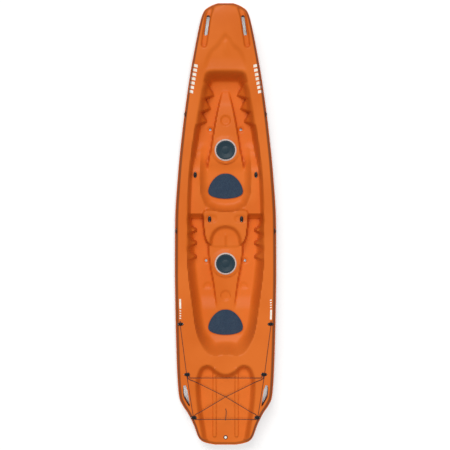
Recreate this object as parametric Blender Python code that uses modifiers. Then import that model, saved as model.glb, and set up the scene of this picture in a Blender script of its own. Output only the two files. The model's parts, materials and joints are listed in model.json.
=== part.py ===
"""A tandem sit-on-top kayak, thermoformed from two polyethylene sheets.

Length runs along Y with the bow at +Y, X is to the side, and the keel rests on z = 0.
The deck sheet and the hull sheet meet in a flange at the widest line of the boat.
"""
import math

import bmesh
import bpy
import numpy as np
from mathutils import Matrix, Vector
from mathutils.bvhtree import BVHTree

HALF_LENGTH = 1.90
SHEET = 0.004            # wall of both moulded sheets
GAP = 0.0003             # clearance between touching pieces
TOP_SCALE = (0.924, 0.984)      # the deck's top edge, as a share of the seam's outline
BILGE_SCALE = (0.84, 0.90)      # the flat of the bottom, as a share of the seam's outline
STATION_STEP = 0.098     # the longest gap between the sheets' cross-sections
STATION_LEAST = 0.024    # and the shortest, away from the blunt ends
LEAST_SHARE = 0.03       # the narrowest column, as a share of the half width

# Where the hull's lines run, as shares of the bottom's half width: keel, channel, runner, bilge.
HULL_SHARES = [0, 0.05, 0.10, 0.18, 0.32, 0.46, 0.56, 0.72, 0.86, 1]
TUBE_SINK = 0.0006       # how far inside the boat's two faces a moulded tube ends

# Each of these is a list of (place along the boat, value).
HALF_WIDTH = [(-1.90, 0.09), (-1.893, 0.135), (-1.872, 0.200), (-1.84, 0.232), (-1.736, 0.272),
              (-1.633, 0.322), (-1.56, 0.370), (-1.50, 0.398), (-1.40, 0.410), (-1.22, 0.420),
              (-0.80, 0.432), (-0.39, 0.438), (0.02, 0.436), (0.435, 0.411), (0.849, 0.368),
              (1.262, 0.310), (1.573, 0.253), (1.74, 0.217), (1.80, 0.200), (1.84, 0.180),
              (1.869, 0.142), (1.89, 0.098), (1.90, 0.065)]
SHEER = [(-1.90, 0.250), (-1.6, 0.262), (-1.2, 0.268), (-0.4, 0.272), (0.4, 0.280), (1.0, 0.300),
         (1.5, 0.334), (1.8, 0.350), (1.90, 0.344)]
SEAM = [(-1.90, 0.148), (-1.5, 0.162), (-1.2, 0.170), (-0.4, 0.172), (0.4, 0.176), (1.0, 0.196), (1.5, 0.236),
        (1.90, 0.272)]
CROWN = [(-1.90, 0.006), (-1.1, 0.004), (1.2, 0.006), (1.5, 0.014), (1.90, 0.010)]
KEEL = [(-1.90, 0.100), (-1.70, 0.045), (-1.50, 0.012), (-1.36, 0.0), (1.10, 0.0), (1.30, 0.010),
        (1.50, 0.042), (1.65, 0.085), (1.80, 0.160), (1.90, 0.215)]
FOOTWELL = [(-1.12, 0.190), (-1.00, 0.150), (-0.94, 0.134), (-0.74, 0.134), (-0.60, 0.110),
            (0.00, 0.104), (0.50, 0.108), (0.90, 0.106), (1.20, 0.110), (1.32, 0.116)]
CONSOLE = [(-0.745, 0.134), (-0.66, 0.142), (-0.46, 0.160), (-0.20, 0.168), (0.40, 0.134),
           (0.50, 0.150), (0.62, 0.165), (0.80, 0.170), (1.02, 0.160), (1.12, 0.128), (1.17, 0.110)]
CONSOLE_HALF = [(-0.745, 0.072), (-0.50, 0.105), (-0.34, 0.134), (-0.18, 0.150), (0.45, 0.156),
                (0.70, 0.119), (0.90, 0.086), (1.16, 0.028), (1.20, 0.014)]
RIM_HALF = [(-1.10, 0.165), (-1.00, 0.226), (-0.89, 0.261), (-0.70, 0.286), (-0.40, 0.326),
            (-0.15, 0.336), (0.10, 0.335), (0.48, 0.317), (0.74, 0.285), (1.08, 0.228),
            (1.25, 0.195)]
WALL_WIDTH = [(-1.12, 0.150), (-1.00, 0.110), (-0.85, 0.084), (-0.40, 0.078), (0.00, 0.050),
              (0.15, 0.032), (0.42, 0.032), (0.66, 0.050), (1.15, 0.060), (1.25, 0.100), (1.33, 0.115)]

# Half outlines run from the bow end to the stern end on the +X side and are mirrored.
COCKPIT = [(0, 1.330), (0.135, 1.330), (0.185, 1.300), (0.195, 1.250), (0.228, 1.080),
           (0.285, 0.740), (0.317, 0.480), (0.335, 0.100), (0.336, -0.150), (0.326, -0.400),
           (0.286, -0.700), (0.261, -0.890), (0.226, -1.000), (0.165, -1.100), (0.100, -1.128),
           (0, -1.108)]
SEAT_RIM = [(0.214, 0.660), (0.222, 0.392), (0.219, 0.267), (0.178, 0.165), (0.090, 0.125),
            (0, 0.1146)]
SHELF_END = 0.094        # where the shelves beside the front seat drop to the rear footwells
SHELF_TOP = 0.198
SHELF_START = 0.450
SCOOP = 1.8              # how sharply a scooped wall steepens towards its rim
BLOCK_TOP = 0.226
BLOCK = [(0, 0.100), (0.188, 0.140), (0.187, 0.030), (0.170, -0.137), (0.120, -0.172),
         (0, -0.180)]
BOWL = [(0, 0.006), (0.075, -0.010), (0.125, -0.060), (0.146, -0.130), (0.150, -0.240),
        (0, -0.240)]
BOWL_FLOOR = 0.176
TANK_WELL = [(0, -1.276), (0.060, -1.255), (0.115, -1.200), (0.171, -1.190), (0.222, -1.215),
             (0.250, -1.275), (0.268, -1.360), (0.258, -1.520), (0.238, -1.680), (0.212, -1.815),
             (0.200, -1.960), (0, -1.960)]
WELL_FLOOR = 0.180
WELL_WALL = 0.055
FORE_RECESS = [(0, 1.660), (0.050, 1.605), (0.088, 1.545), (0.140, 1.510), (0.182, 1.430),
               (0.200, 1.340), (0.196, 1.300), (0, 1.300)]
# Closed outlines on the +X side only, each with a twin on the other side.
FRONT_TEETH = [[(0.161, 1.212), (0.111, 1.125), (0.185, 1.093), (0.260, 1.093), (0.260, 1.212)],
               [(0.185, 1.093), (0.140, 1.010), (0.219, 0.973), (0.290, 0.973), (0.290, 1.093)],
               [(0.219, 0.973), (0.173, 0.899), (0.250, 0.862), (0.320, 0.862), (0.320, 0.973)]]
REAR_TEETH_AT = [-0.004, -0.116, -0.233]
REAR_TOOTH = [(0.318, 0.0), (0.262, -0.040), (0.300, -0.058), (0.400, -0.058), (0.400, 0.0)]
TOOTH_TOP = 0.178
FRONT_TOOTH_FOOT = 0.150     # a front footrest's height at its tip, from where it climbs outwards
FRONT_TOOTH_TOP = 0.240
TOOTH_WALL = 0.014
POCKET = [(0.076, 0.088), (0.176, 0.088), (0.182, 0.022), (0.100, 0.016), (0.072, 0.040)]
HEEL_WELL = [(0.118, -0.556), (0.204, -0.556), (0.192, -0.510), (0.160, -0.488), (0.124, -0.500)]

HATCHES = {"front": 0.647, "rear": -0.3335}
HATCH_STEP_RADIUS = 0.122
HATCH_STEP_TOP = 0.178
HATCH_BORE = 0.078
CUPS = [0.903, -0.610]   # round recesses on the centre line
CUP_RADIUS = 0.046
CUP_DEPTH = 0.012
SCUPPERS = [(0.133, 0.829), (0.169, -0.3085)]
SCUPPER_BORE = 0.012
SCUPPER_DISH = 0.027
SEATS = {"front": 0.337, "rear": -0.8405}
SEAT_FLOOR = 0.134

BOW_SLOT = [(0.148, 1.776), (0.169, 1.632)]      # its centre line
BOW_TROUGH = [(0.132, 1.838), (0.150, 1.776), (0.171, 1.632), (0.184, 1.540)]
BOW_SLOT_HALF = 0.014
TROUGH_DEPTH = 0.024
STERN_SLOT = [(0.368, -1.376), (0.334, -1.374), (0.306, -1.545), (0.312, -1.560),
              (0.352, -1.490), (0.362, -1.470)]
DRAIN = (0.0, -1.832)
DRAIN_BORE = 0.011
DRAIN_NECK = 0.0078
DRAIN_RIM = 0.018
DRAIN_RIM_TOP = 0.003
DRAIN_FOOT = -0.014
PLUG_HEAD = 0.0115
PLUG_SHANK = 0.0074
DRAIN_SEAL = (0.0080, 0.0109)    # inner and outer radius

for leftover in list(bpy.data.objects):
    bpy.data.objects.remove(leftover)
parts = bpy.data.collections.new("kayak")
cutters = bpy.data.collections.new("cutters")
for collection in (parts, cutters):
    bpy.context.scene.collection.children.link(collection)


# ---------------------------------------------------------------- shape functions

def along(points, at):
    """A smooth curve that never overshoots, through (place, value) points."""
    knots, values = np.array(points, float).T
    rises = np.diff(values) / np.diff(knots)
    before, after = rises[:-1], rises[1:]
    total = np.where(before * after > 0, before + after, 1.0)
    inner = np.where(before * after > 0, 2 * before * after / total, 0.0)
    slopes = np.concatenate([rises[:1], inner, rises[-1:]])
    at = np.clip(at, knots[0], knots[-1])
    i = np.clip(np.searchsorted(knots, at) - 1, 0, len(knots) - 2)
    span = knots[i + 1] - knots[i]
    t = (at - knots[i]) / span
    return ((1 + 2 * t) * (1 - t) ** 2 * values[i] + t * (1 - t) ** 2 * span * slopes[i]
            + t * t * (3 - 2 * t) * values[i + 1] - t * t * (1 - t) * span * slopes[i + 1])


def ease(t):
    """0 below 0, 1 above 1, and a smooth rise between."""
    t = np.clip(t, 0, 1)
    return t * t * (3 - 2 * t)


def inside(outline, x, y):
    """How deep each point lies inside a closed outline; negative outside it."""
    nearest = np.full(np.shape(x), np.inf)
    crossed = np.zeros(np.shape(x), bool)
    for (ax, ay), (bx, by) in zip(outline, outline[1:] + outline[:1]):
        ex, ey = bx - ax, by - ay
        t = np.clip(((x - ax) * ex + (y - ay) * ey) / (ex * ex + ey * ey), 0, 1)
        nearest = np.minimum(nearest, np.hypot(x - ax - t * ex, y - ay - t * ey))
        if ay != by:
            crossed ^= ((ay > y) != (by > y)) & (x < ax + (y - ay) * ex / ey)
    return np.where(crossed, nearest, -nearest)


def near(route, x, y):
    """The distance from each point to an open route of straight runs."""
    nearest = np.full(np.shape(x), np.inf)
    for (ax, ay), (bx, by) in zip(route, route[1:]):
        ex, ey = bx - ax, by - ay
        t = np.clip(((x - ax) * ex + (y - ay) * ey) / (ex * ex + ey * ey), 0, 1)
        nearest = np.minimum(nearest, np.hypot(x - ax - t * ex, y - ay - t * ey))
    return nearest


def softened(outline, rounds=2):
    """The outline with its corners cut back into short curves."""
    for _ in range(rounds):
        ends = zip(outline, outline[1:] + outline[:1])
        outline = [(a[0] + (b[0] - a[0]) * share, a[1] + (b[1] - a[1]) * share)
                   for a, b in ends for share in (0.25, 0.75)]
    return outline


def whole(half):
    """A closed outline from its +X half, which starts and ends on the centre line."""
    return softened(half + [(-px, py) for px, py in reversed(half) if px > 0])


def toward(z, target, share):
    return z + (target - z) * share


def cockpit_floor(x, y):
    """The floor of the cockpits before the walls rise to the gunwale."""
    a = np.abs(x)
    z = along(FOOTWELL, y)
    on_console = ease((along(CONSOLE_HALF, y) - a) / 0.016 + 0.5)
    on_console *= ease((y + 0.745) / 0.02) * ease((1.175 - y) / 0.02)
    z = toward(z, np.maximum(along(CONSOLE, y), z), on_console)
    z = toward(z, SEAT_FLOOR, ease((0.55 - y) / 0.10) * ease((y - 0.05) / 0.02))

    ramp = SHELF_TOP - 0.075 * ease((y - SHELF_START) / 0.20)
    shelf = [(0.40, 0.66)] + SEAT_RIM + [(-px, py) for px, py in reversed(SEAT_RIM[:-1])]
    shelf += [(-0.40, 0.66), (-0.40, SHELF_END), (0.40, SHELF_END)]
    flank = inside(shelf, x, y)
    shelf_wall = np.where(y < SHELF_END + 0.002, 0.028, 0.072)
    climb = np.clip(1 + flank / shelf_wall, 0, 1)
    z = toward(z, np.maximum(z, ramp), climb ** SCOOP)
    z = toward(z, BLOCK_TOP, ease(1 + inside(whole(BLOCK), x, y) / 0.014))
    z = toward(z, np.minimum(z, BOWL_FLOOR + 0.05 * np.maximum(0, y + 0.10)),
               ease(inside(whole(BOWL), x, y) / 0.038))
    rib = ease(1 - a / 0.014) * ease((-0.060 - y) / 0.05) * ease((y + 0.185) / 0.01)
    z = z + 0.010 * rib

    for tooth in FRONT_TEETH:
        slope = np.minimum(FRONT_TOOTH_TOP, FRONT_TOOTH_FOOT + 1.3 * np.maximum(0, a - tooth[1][0]))
        z = toward(z, np.maximum(z, slope), ease(1 + inside(tooth, a, y) / TOOTH_WALL))
    for start in REAR_TEETH_AT:
        tooth = [(px, py + start) for px, py in REAR_TOOTH]
        z = toward(z, TOOTH_TOP, ease(1 + inside(tooth, a, y) / TOOTH_WALL))

    z = z - 0.010 * ease(inside(softened(POCKET), a, y) / 0.012)
    z = z - 0.008 * ease(inside(softened(HEEL_WELL), a, y) / 0.014)
    for place in HATCHES.values():
        z = toward(z, HATCH_STEP_TOP, ease((HATCH_STEP_RADIUS - np.hypot(a, y - place)) / 0.008))
    for place in CUPS:
        z = z - CUP_DEPTH * ease((CUP_RADIUS - np.hypot(a, y - place)) / 0.010)
    for sx, sy in SCUPPERS:
        z = z - 0.010 * ease((SCUPPER_DISH - np.hypot(a - sx, y - sy)) / 0.012)
    return z


def deck_height(x, y):
    """The upper face of the deck sheet."""
    a = np.abs(x)
    edge = along(HALF_WIDTH, y / TOP_SCALE[1]) * TOP_SCALE[0]
    z = along(SHEER, y) + along(CROWN, y) * (1 - (a / edge) ** 2)

    arch = ease(inside(whole(FORE_RECESS), x, y) / 0.060)
    z = z - 0.014 * arch * ease((1.70 - y) / 0.10) * ease((y - 1.28) / 0.16)
    z = z + 0.008 * np.exp(-(a / 0.028) ** 2) * ease((1.60 - y) / 0.05) * ease((y - 1.42) / 0.12)
    z = z - TROUGH_DEPTH * ease((0.033 - near(BOW_TROUGH, a, y)) / 0.020)

    tub = inside(softened(COCKPIT + [(-px, py) for px, py in reversed(COCKPIT) if px > 0], 1), x, y)
    drop = np.clip(tub / along(WALL_WIDTH, y), 0, 1)
    scooped = ease((-0.05 - y) / 0.30)
    z = toward(z, cockpit_floor(x, y), toward(ease(drop), 1 - (1 - drop) ** SCOOP, scooped))

    well = inside(whole(TANK_WELL), x, y)
    z = toward(z, WELL_FLOOR, ease(well / WELL_WALL))
    ridge = near([(0.095, -1.24), (0.095, -1.815)], a, y)
    z = np.maximum(z, toward(z, z + 0.014, ease((0.020 - ridge) / 0.010)))
    return z


def hull_height(x, y):
    """The lower face of the hull sheet: a flat keel and two flat runners with channels between."""
    edge = np.maximum(along(HALF_WIDTH, y / BILGE_SCALE[1]), 0.05) * BILGE_SCALE[0]
    share = np.abs(x) / edge
    keel, crest, hollow, runner, bilge = (HULL_SHARES[i] for i in (2, 3, 5, 6, 7))
    flat = ease((y + 1.55) / 0.25) * ease((1.35 - y) / 0.30)
    channel = 0.020 * ease((share - keel) / (crest - keel)) * ease((runner - share) / (runner - hollow))
    turn = 0.050 * ease((share - bilge) / (1.08 - bilge))
    rise = 0.05 * share ** 2 * (1 - flat)
    return along(KEEL, y) + channel * flat + turn + rise


# ---------------------------------------------------------------- objects

def paint(name, colour, roughness, metallic=0.0):
    material = bpy.data.materials.new(name)
    material.use_nodes = True
    shader = material.node_tree.nodes["Principled BSDF"]
    shader.inputs["Base Color"].default_value = (*colour, 1)
    shader.inputs["Roughness"].default_value = roughness
    shader.inputs["Metallic"].default_value = metallic
    return material


def from_bmesh(bm, name, collection=parts):
    mesh = bpy.data.meshes.new(name)
    bmesh.ops.recalc_face_normals(bm, faces=bm.faces)
    bm.to_mesh(mesh)
    bm.free()
    obj = bpy.data.objects.new(name, mesh)
    collection.objects.link(obj)
    if collection is cutters:
        obj.hide_render = True
        obj.display_type = "WIRE"
    return obj


def fixed_mesh(obj):
    """The object's evaluated shape as a plain mesh object in its place."""
    bpy.context.view_layer.update()
    evaluated = obj.evaluated_get(bpy.context.evaluated_depsgraph_get())
    bm = bmesh.new()
    bm.from_mesh(bpy.data.meshes.new_from_object(evaluated))
    bmesh.ops.remove_doubles(bm, verts=bm.verts, dist=1e-6)
    place, name, home = obj.matrix_world.copy(), obj.name, obj.users_collection[0]
    bpy.data.objects.remove(obj)
    solid = from_bmesh(bm, name, home)
    solid.matrix_world = place
    return solid


def boolean(obj, other, operation="DIFFERENCE", solver="EXACT"):
    cut = obj.modifiers.new(other.name, "BOOLEAN")
    cut.operation = operation
    cut.object = other
    cut.solver = solver


def smooth(obj, angle=32):
    obj.data.shade_smooth()
    obj.data.set_sharp_from_angle(angle=math.radians(angle))


def turned(name, profile, steps, collection=parts):
    """A solid of revolution about Z from a closed profile of (radius, height) points."""
    bm = bmesh.new()
    ring = [bm.verts.new((r, 0, z)) for r, z in profile]
    ends = list(zip(ring, ring[1:]))
    if profile[0][0] > 0:
        ends.append((ring[-1], ring[0]))
    for a, b in ends:
        bm.edges.new((a, b))
    mesh = bpy.data.meshes.new(name)
    bm.to_mesh(mesh)
    bm.free()
    obj = bpy.data.objects.new(name, mesh)
    collection.objects.link(obj)
    screw = obj.modifiers.new("turn", "SCREW")
    screw.steps = steps
    screw.render_steps = steps
    screw.use_merge_vertices = True
    screw.merge_threshold = 0.00005
    if collection is cutters:
        obj.hide_render = True
        obj.display_type = "WIRE"
    return obj


def outline_solid(name, outline, bottom, top, collection=parts):
    """A flat outline with thickness, between two heights."""
    data = bpy.data.curves.new(name, "CURVE")
    data.dimensions = "2D"
    data.fill_mode = "BOTH"
    data.extrude = (top - bottom) / 2
    spline = data.splines.new("POLY")
    spline.points.add(len(outline) - 1)
    for point, (px, py) in zip(spline.points, outline):
        point.co = (px, py, 0, 1)
    spline.use_cyclic_u = True
    obj = bpy.data.objects.new(name, data)
    obj.location = (0, 0, (top + bottom) / 2)
    collection.objects.link(obj)
    return fixed_mesh(obj)


def circle(radius, count, centre=(0, 0)):
    angles = [2 * math.pi * i / count for i in range(count)]
    return [(centre[0] + radius * math.cos(t), centre[1] + radius * math.sin(t)) for t in angles]


def bore(radius, count, centre=(0, 0)):
    """A hole's outline, whose flats and not its corners lie at the radius."""
    return circle(radius / math.cos(math.pi / count), count, centre)


def resting(tree, outline):
    """The height at which a flat-bottomed piece just clears the deck."""
    return max(level(tree, px, py) for px, py in subdivided(outline, 0.01)) + GAP


def capsule(route, radius, arc=4):
    """The outline of a straight slot with round ends."""
    (ax, ay), (bx, by) = route[0], route[-1]
    heading = math.atan2(by - ay, bx - ax)
    points = []
    for (cx, cy), turn in (((bx, by), -0.5), ((ax, ay), 0.5)):
        for step in range(arc + 1):
            t = heading + math.pi * (turn + step / arc)
            points.append((cx + radius * math.cos(t), cy + radius * math.sin(t)))
    return points


def grown(outline, margin):
    """The outline moved outwards by a margin, corner by corner."""
    area = sum(a[0] * b[1] - b[0] * a[1] for a, b in zip(outline, outline[1:] + outline[:1]))
    side = margin if area > 0 else -margin
    moved = []
    for before, here, after in zip(outline[-1:] + outline[:-1], outline, outline[1:] + outline[:1]):
        first = Vector((here[0] - before[0], here[1] - before[1])).normalized()
        second = Vector((after[0] - here[0], after[1] - here[1])).normalized()
        normal = Vector((first.y + second.y, -first.x - second.x)).normalized()
        reach = side / max(0.5, normal.dot(Vector((first.y, -first.x))))
        moved.append((here[0] + normal.x * reach, here[1] + normal.y * reach))
    return moved


def subdivided(outline, longest=0.045):
    """The same outline with points added along its long sides."""
    points = []
    for (ax, ay), (bx, by) in zip(outline, outline[1:] + outline[:1]):
        count = math.ceil(math.hypot(bx - ax, by - ay) / longest)
        points += [(ax + (bx - ax) * i / count, ay + (by - ay) * i / count) for i in range(count)]
    return points


def mirrored(outline):
    return [(-px, py) for px, py in reversed(outline)]


# ---------------------------------------------------------------- the two sheets

def stations(scale):
    """Places of the cross-sections: every corner of the design, and none too far apart."""
    marks = [y for y, _ in HALF_WIDTH if abs(y) > 1.3]
    marks += [y / TOP_SCALE[1] for tooth in FRONT_TEETH for _, y in tooth[:3]]
    marks += [y / TOP_SCALE[1] for y in (1.33, 1.30, 0.55, 0.45, 0.165, SHELF_END, 0.066, 0.0,
                                         -0.095, -0.137, -0.183, -0.233, -0.745, -0.955, -1.06,
                                         -1.108, -1.19, -1.245, -1.29, -1.80)]
    places = [-HALF_LENGTH]
    for mark in sorted(set(round(m, 4) for m in marks)):
        gap = mark - places[-1]
        if gap < (STATION_LEAST if abs(mark) < 1.83 else 0.008):
            continue
        count = math.ceil(gap / STATION_STEP)
        places += [places[-1] + gap * i / count for i in range(1, count)] + [mark]
    return [place * scale for place in places]


def column_shares(y, edge):
    """Where the columns cross a section, as shares of its half width."""
    console = float(along([(-1.85, 0.05), (-1.25, 0.078)] + CONSOLE_HALF
                          + [(1.30, 0.05), (1.54, 0.10), (1.84, 0.096)], y))
    rim = float(along([(-1.85, 0.20), (-1.60, 0.249), (-1.30, 0.262)] + RIM_HALF
                      + [(1.34, 0.196), (1.54, 0.214), (1.64, 0.203), (1.84, 0.164)], y))
    foot = rim - float(along(WALL_WIDTH, y)) * 0.92
    if 0.85 < y < 1.215:
        tips = sorted((p[1], p[0]) for tooth in FRONT_TEETH for p in tooth[:3])
        foot = float(np.interp(y, [p[0] for p in tips], [p[1] for p in tips]))
    foot = max(foot, console + 0.030)
    places = [0, console * 0.5, console - 0.007, console + 0.008, (console + foot) / 2, foot,
              foot + 0.3 * (rim - foot), rim, (rim + edge) / 2, edge]
    shares = [place / edge for place in places]
    for i in range(1, len(shares)):
        shares[i] = max(shares[i], shares[i - 1] + LEAST_SHARE)
    shares[-1] = 1.0
    for i in range(len(shares) - 2, 0, -1):
        shares[i] = min(shares[i], shares[i + 1] - LEAST_SHARE)
    return shares


def sheet(name, scale, height, rings, lines=None):
    """An open shell: a shaped grid whose border is drawn out ring by ring to the seam."""
    rows = stations(1.0)
    columns = 2 * (len(HULL_SHARES) - 1)
    bm = bmesh.new()
    bmesh.ops.create_grid(bm, x_segments=columns, y_segments=len(rows) - 1, size=1)
    for vert in bm.verts:
        row = rows[round((vert.co.y + 1) / 2 * (len(rows) - 1))]
        column = round((vert.co.x + 1) * columns / 2) - columns // 2
        half = float(along(HALF_WIDTH, row))
        shares = column_shares(row * TOP_SCALE[1], half * TOP_SCALE[0])
        if lines and abs(row) < HALF_LENGTH - 0.001:
            shares = lines
        share = shares[abs(column)]
        seam_x = math.copysign(share, column) * half
        x, y = seam_x * scale[0], row * scale[1]
        vert.co = (x, y, float(height(np.float64(x), np.float64(y))))
    border = [edge for edge in bm.edges if edge.is_boundary]
    for position, (grow, height_at) in enumerate(rings):
        drawn = bmesh.ops.extrude_edge_only(bm, edges=border)["geom"]
        fresh = [item for item in drawn if isinstance(item, bmesh.types.BMVert)]
        border = [edge for edge in bm.edges if edge.is_boundary]
        previous = rings[position - 1][0] if position else scale
        for vert in fresh:
            seam_x, seam_y = vert.co.x / previous[0], vert.co.y / previous[1]
            seam_z = float(along(SEAM, seam_y))
            edge_x, edge_y = seam_x * scale[0], seam_y * scale[1]
            start = float(height(np.float64(edge_x), np.float64(edge_y)))
            vert.co = (seam_x * grow[0], seam_y * grow[1], height_at(start, seam_z))
    flange = 2 * len(border)
    mesh = bpy.data.meshes.new(name)
    bm.to_mesh(mesh)
    bm.free()
    obj = bpy.data.objects.new(name, mesh)
    parts.objects.link(obj)
    free = obj.vertex_groups.new(name="away from the flange")
    free.add(range(len(mesh.vertices) - flange), 1.0, "REPLACE")
    return obj


def face_out(obj, upward):
    """Turns an open sheet's faces up or down, all of them alike."""
    obj.data.update()
    if (sum(face.normal.z * face.area for face in obj.data.polygons) > 0) != upward:
        obj.data.flip_normals()


def lighten(obj, ratio):
    """Fewer facets where the sheet is nearly flat, with the flange left as it is."""
    fewer = obj.modifiers.new("fewer facets", "DECIMATE")
    fewer.ratio = ratio
    fewer.vertex_group = obj.vertex_groups[0].name
    fewer.use_symmetry = True
    fewer.symmetry_axis = "X"


def thicken(obj):
    wall = obj.modifiers.new("sheet thickness", "SOLIDIFY")
    wall.thickness = SHEET
    wall.offset = -1
    wall.use_even_offset = False


def prism(name, outline, bottoms, tops, collection=parts):
    """An upright solid whose ends follow the heights given for each corner."""
    bm = bmesh.new()
    low = [bm.verts.new((px, py, z)) for (px, py), z in zip(outline, bottoms)]
    bm.faces.new(low)
    drawn = bmesh.ops.extrude_face_region(bm, geom=bm.faces[:])["geom"]
    for vert in drawn:
        if isinstance(vert, bmesh.types.BMVert):
            corner = min(range(len(low)), key=lambda i: (low[i].co - vert.co).length)
            vert.co.z = tops[corner]
    return from_bmesh(bm, name, collection)


def moulded_tube(name, outline, hull_tree, deck_tree):
    """The wall round a hole, lofted from the hull's face to the deck's face."""
    bm = bmesh.new()
    inner, outer = outline, grown(outline, SHEET)
    loops = []
    for shape, tree, offset in ((inner, deck_tree, -TUBE_SINK), (outer, deck_tree, -TUBE_SINK),
                                (outer, hull_tree, TUBE_SINK), (inner, hull_tree, TUBE_SINK)):
        loops.append([bm.verts.new((px, py, level(tree, px, py) + offset)) for px, py in shape])
    for above, below in zip(loops, loops[1:] + loops[:1]):
        for i, vert in enumerate(above):
            bm.faces.new((above[i - 1], vert, below[i], below[i - 1]))
    return from_bmesh(bm, name, cutters)


def joined(objects, name, collection):
    """Separate solids as one object."""
    bm = bmesh.new()
    for obj in objects:
        obj.data.transform(obj.matrix_world)
        bm.from_mesh(obj.data)
        bpy.data.objects.remove(obj)
    return from_bmesh(bm, name, collection)


def tree_of(obj):
    bm = bmesh.new()
    bm.from_mesh(obj.data)
    tree = BVHTree.FromBMesh(bm)
    bm.free()
    return tree


def level(tree, x, y):
    """The height of a sheet's outer face."""
    return tree.ray_cast(Vector((x, y, 1.0)), Vector((0, 0, -1)))[0].z


def through_shapes():
    """Outlines that pass through both sheets, with the names of their cuts."""
    shapes = []
    for side, turn in (("right", lambda o: o), ("left", mirrored)):
        shapes.append((f"bow_slot_{side}", turn(capsule(BOW_SLOT, BOW_SLOT_HALF))))
        shapes.append((f"stern_slot_{side}", turn(STERN_SLOT)))
        for place, centre in zip(("front", "rear"), SCUPPERS):
            shapes.append((f"scupper_{place}_{side}", turn(circle(SCUPPER_BORE, 12, centre))))
    return shapes


DECK_RINGS = [((0.935, 0.986), lambda start, seam: start - 0.005),
              ((0.962, 0.992), lambda start, seam: seam + 0.010 + 0.55 * (start - seam - 0.010)),
              ((0.984, 0.9966), lambda start, seam: seam + SHEET + GAP / 2),
              ((1.0, 1.0), lambda start, seam: seam + SHEET + GAP / 2)]
HULL_RINGS = [((0.905, 0.938), lambda start, seam: start + 0.28 * (seam - start)),
              ((0.962, 0.975), lambda start, seam: start + 0.66 * (seam - start)),
              ((0.984, 0.9966), lambda start, seam: seam - SHEET - GAP / 2),
              ((1.0, 1.0), lambda start, seam: seam - SHEET - GAP / 2)]


def make_sheets():
    deck = sheet("deck_shell", TOP_SCALE, deck_height, DECK_RINGS)
    hull = sheet("hull_shell", BILGE_SCALE, hull_height, HULL_RINGS, HULL_SHARES)
    lighten(deck, 0.80)
    lighten(hull, 0.42)
    deck, hull = fixed_mesh(deck), fixed_mesh(hull)
    face_out(deck, upward=True)
    face_out(hull, upward=False)
    deck_tree, hull_tree = tree_of(deck), tree_of(hull)
    tubes, deck_cuts, hull_cuts = [], [], []
    for name, outline in through_shapes():
        outline = subdivided(outline)
        tubes.append(moulded_tube(f"{name}_tube", outline, hull_tree, deck_tree))
        ends = [-0.05] * len(outline), [0.5] * len(outline)
        deck_cuts.append(prism(f"{name}_deck_cut", grown(outline, SHEET / 2), *ends, cutters))
        hull_cuts.append(prism(f"{name}_hull_cut", grown(outline, SHEET + 2 * GAP), *ends, cutters))
    tubes = joined(tubes, "moulded_tubes", cutters)
    deck_cuts = joined(deck_cuts, "deck_cuts", cutters)
    hull_cuts = joined(hull_cuts, "hull_cuts", cutters)
    bores = [prism(f"hatch_bore_{place}", bore(HATCH_BORE, 32, (0, y)), [0.12] * 32, [0.25] * 32, cutters)
             for place, y in HATCHES.items()]
    bores.append(prism("drain_bore", bore(DRAIN_BORE, 16, DRAIN), [0.16] * 16, [0.22] * 16, cutters))
    bores = joined(bores, "fitting_bores", cutters)
    thicken(deck)
    thicken(hull)
    boolean(deck, deck_cuts, solver="MANIFOLD")
    boolean(deck, bores, solver="MANIFOLD")
    boolean(deck, tubes, "UNION", "MANIFOLD")
    boolean(hull, hull_cuts)
    orange = paint("orange polyethylene", (0.73, 0.16, 0.018), 0.42)
    for obj in (deck, hull):
        obj.data.materials.append(orange)
        smooth(obj)
    return deck_tree


# ---------------------------------------------------------------- fittings

HATCH_SIDES = 28
RIM_OUTER = 0.095
RIM_TOP = 0.006
RIM_FLAT = 0.090         # where the rim's top starts to slope to its thin edge
RIM_EDGE = 0.003
NECK_INNER = 0.071
NECK_FOOT = -0.028
LID_PLUG = 0.0700        # the part of the lid that stands in the neck
PLUG_INNER = 0.066
PLUG_FOOT = -0.018
PLUG_ROOF = 0.004
LID_RADIUS = 0.083
LID_TOP = 0.0115
LID_SHOULDER = 0.0085
LID_DISH = (0.060, 0.064)        # where the lid's dished middle meets its raised ring
LID_DISH_DEPTH = 0.003
SEAL_GROOVE = (0.0722, 0.0785)   # the groove under the lid, inner and outer radius
SEAL_GROOVE_TOP = 0.0101
SEAL_RADIUS = 0.0018
SEAL_LINE = 0.0752
PAD_THICK = 0.012
EYE_HALF = 0.024
EYE_WIDTH = 0.016
EYE_INNER = 0.011
EYE_STRAP = 0.0032
EYE_FOOT = 0.003
SHOCK_CORD = 0.005
SIDE_CORD = 0.004
CORD_LIFT = 0.0060       # a cord's centre above the deck under an eye


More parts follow.
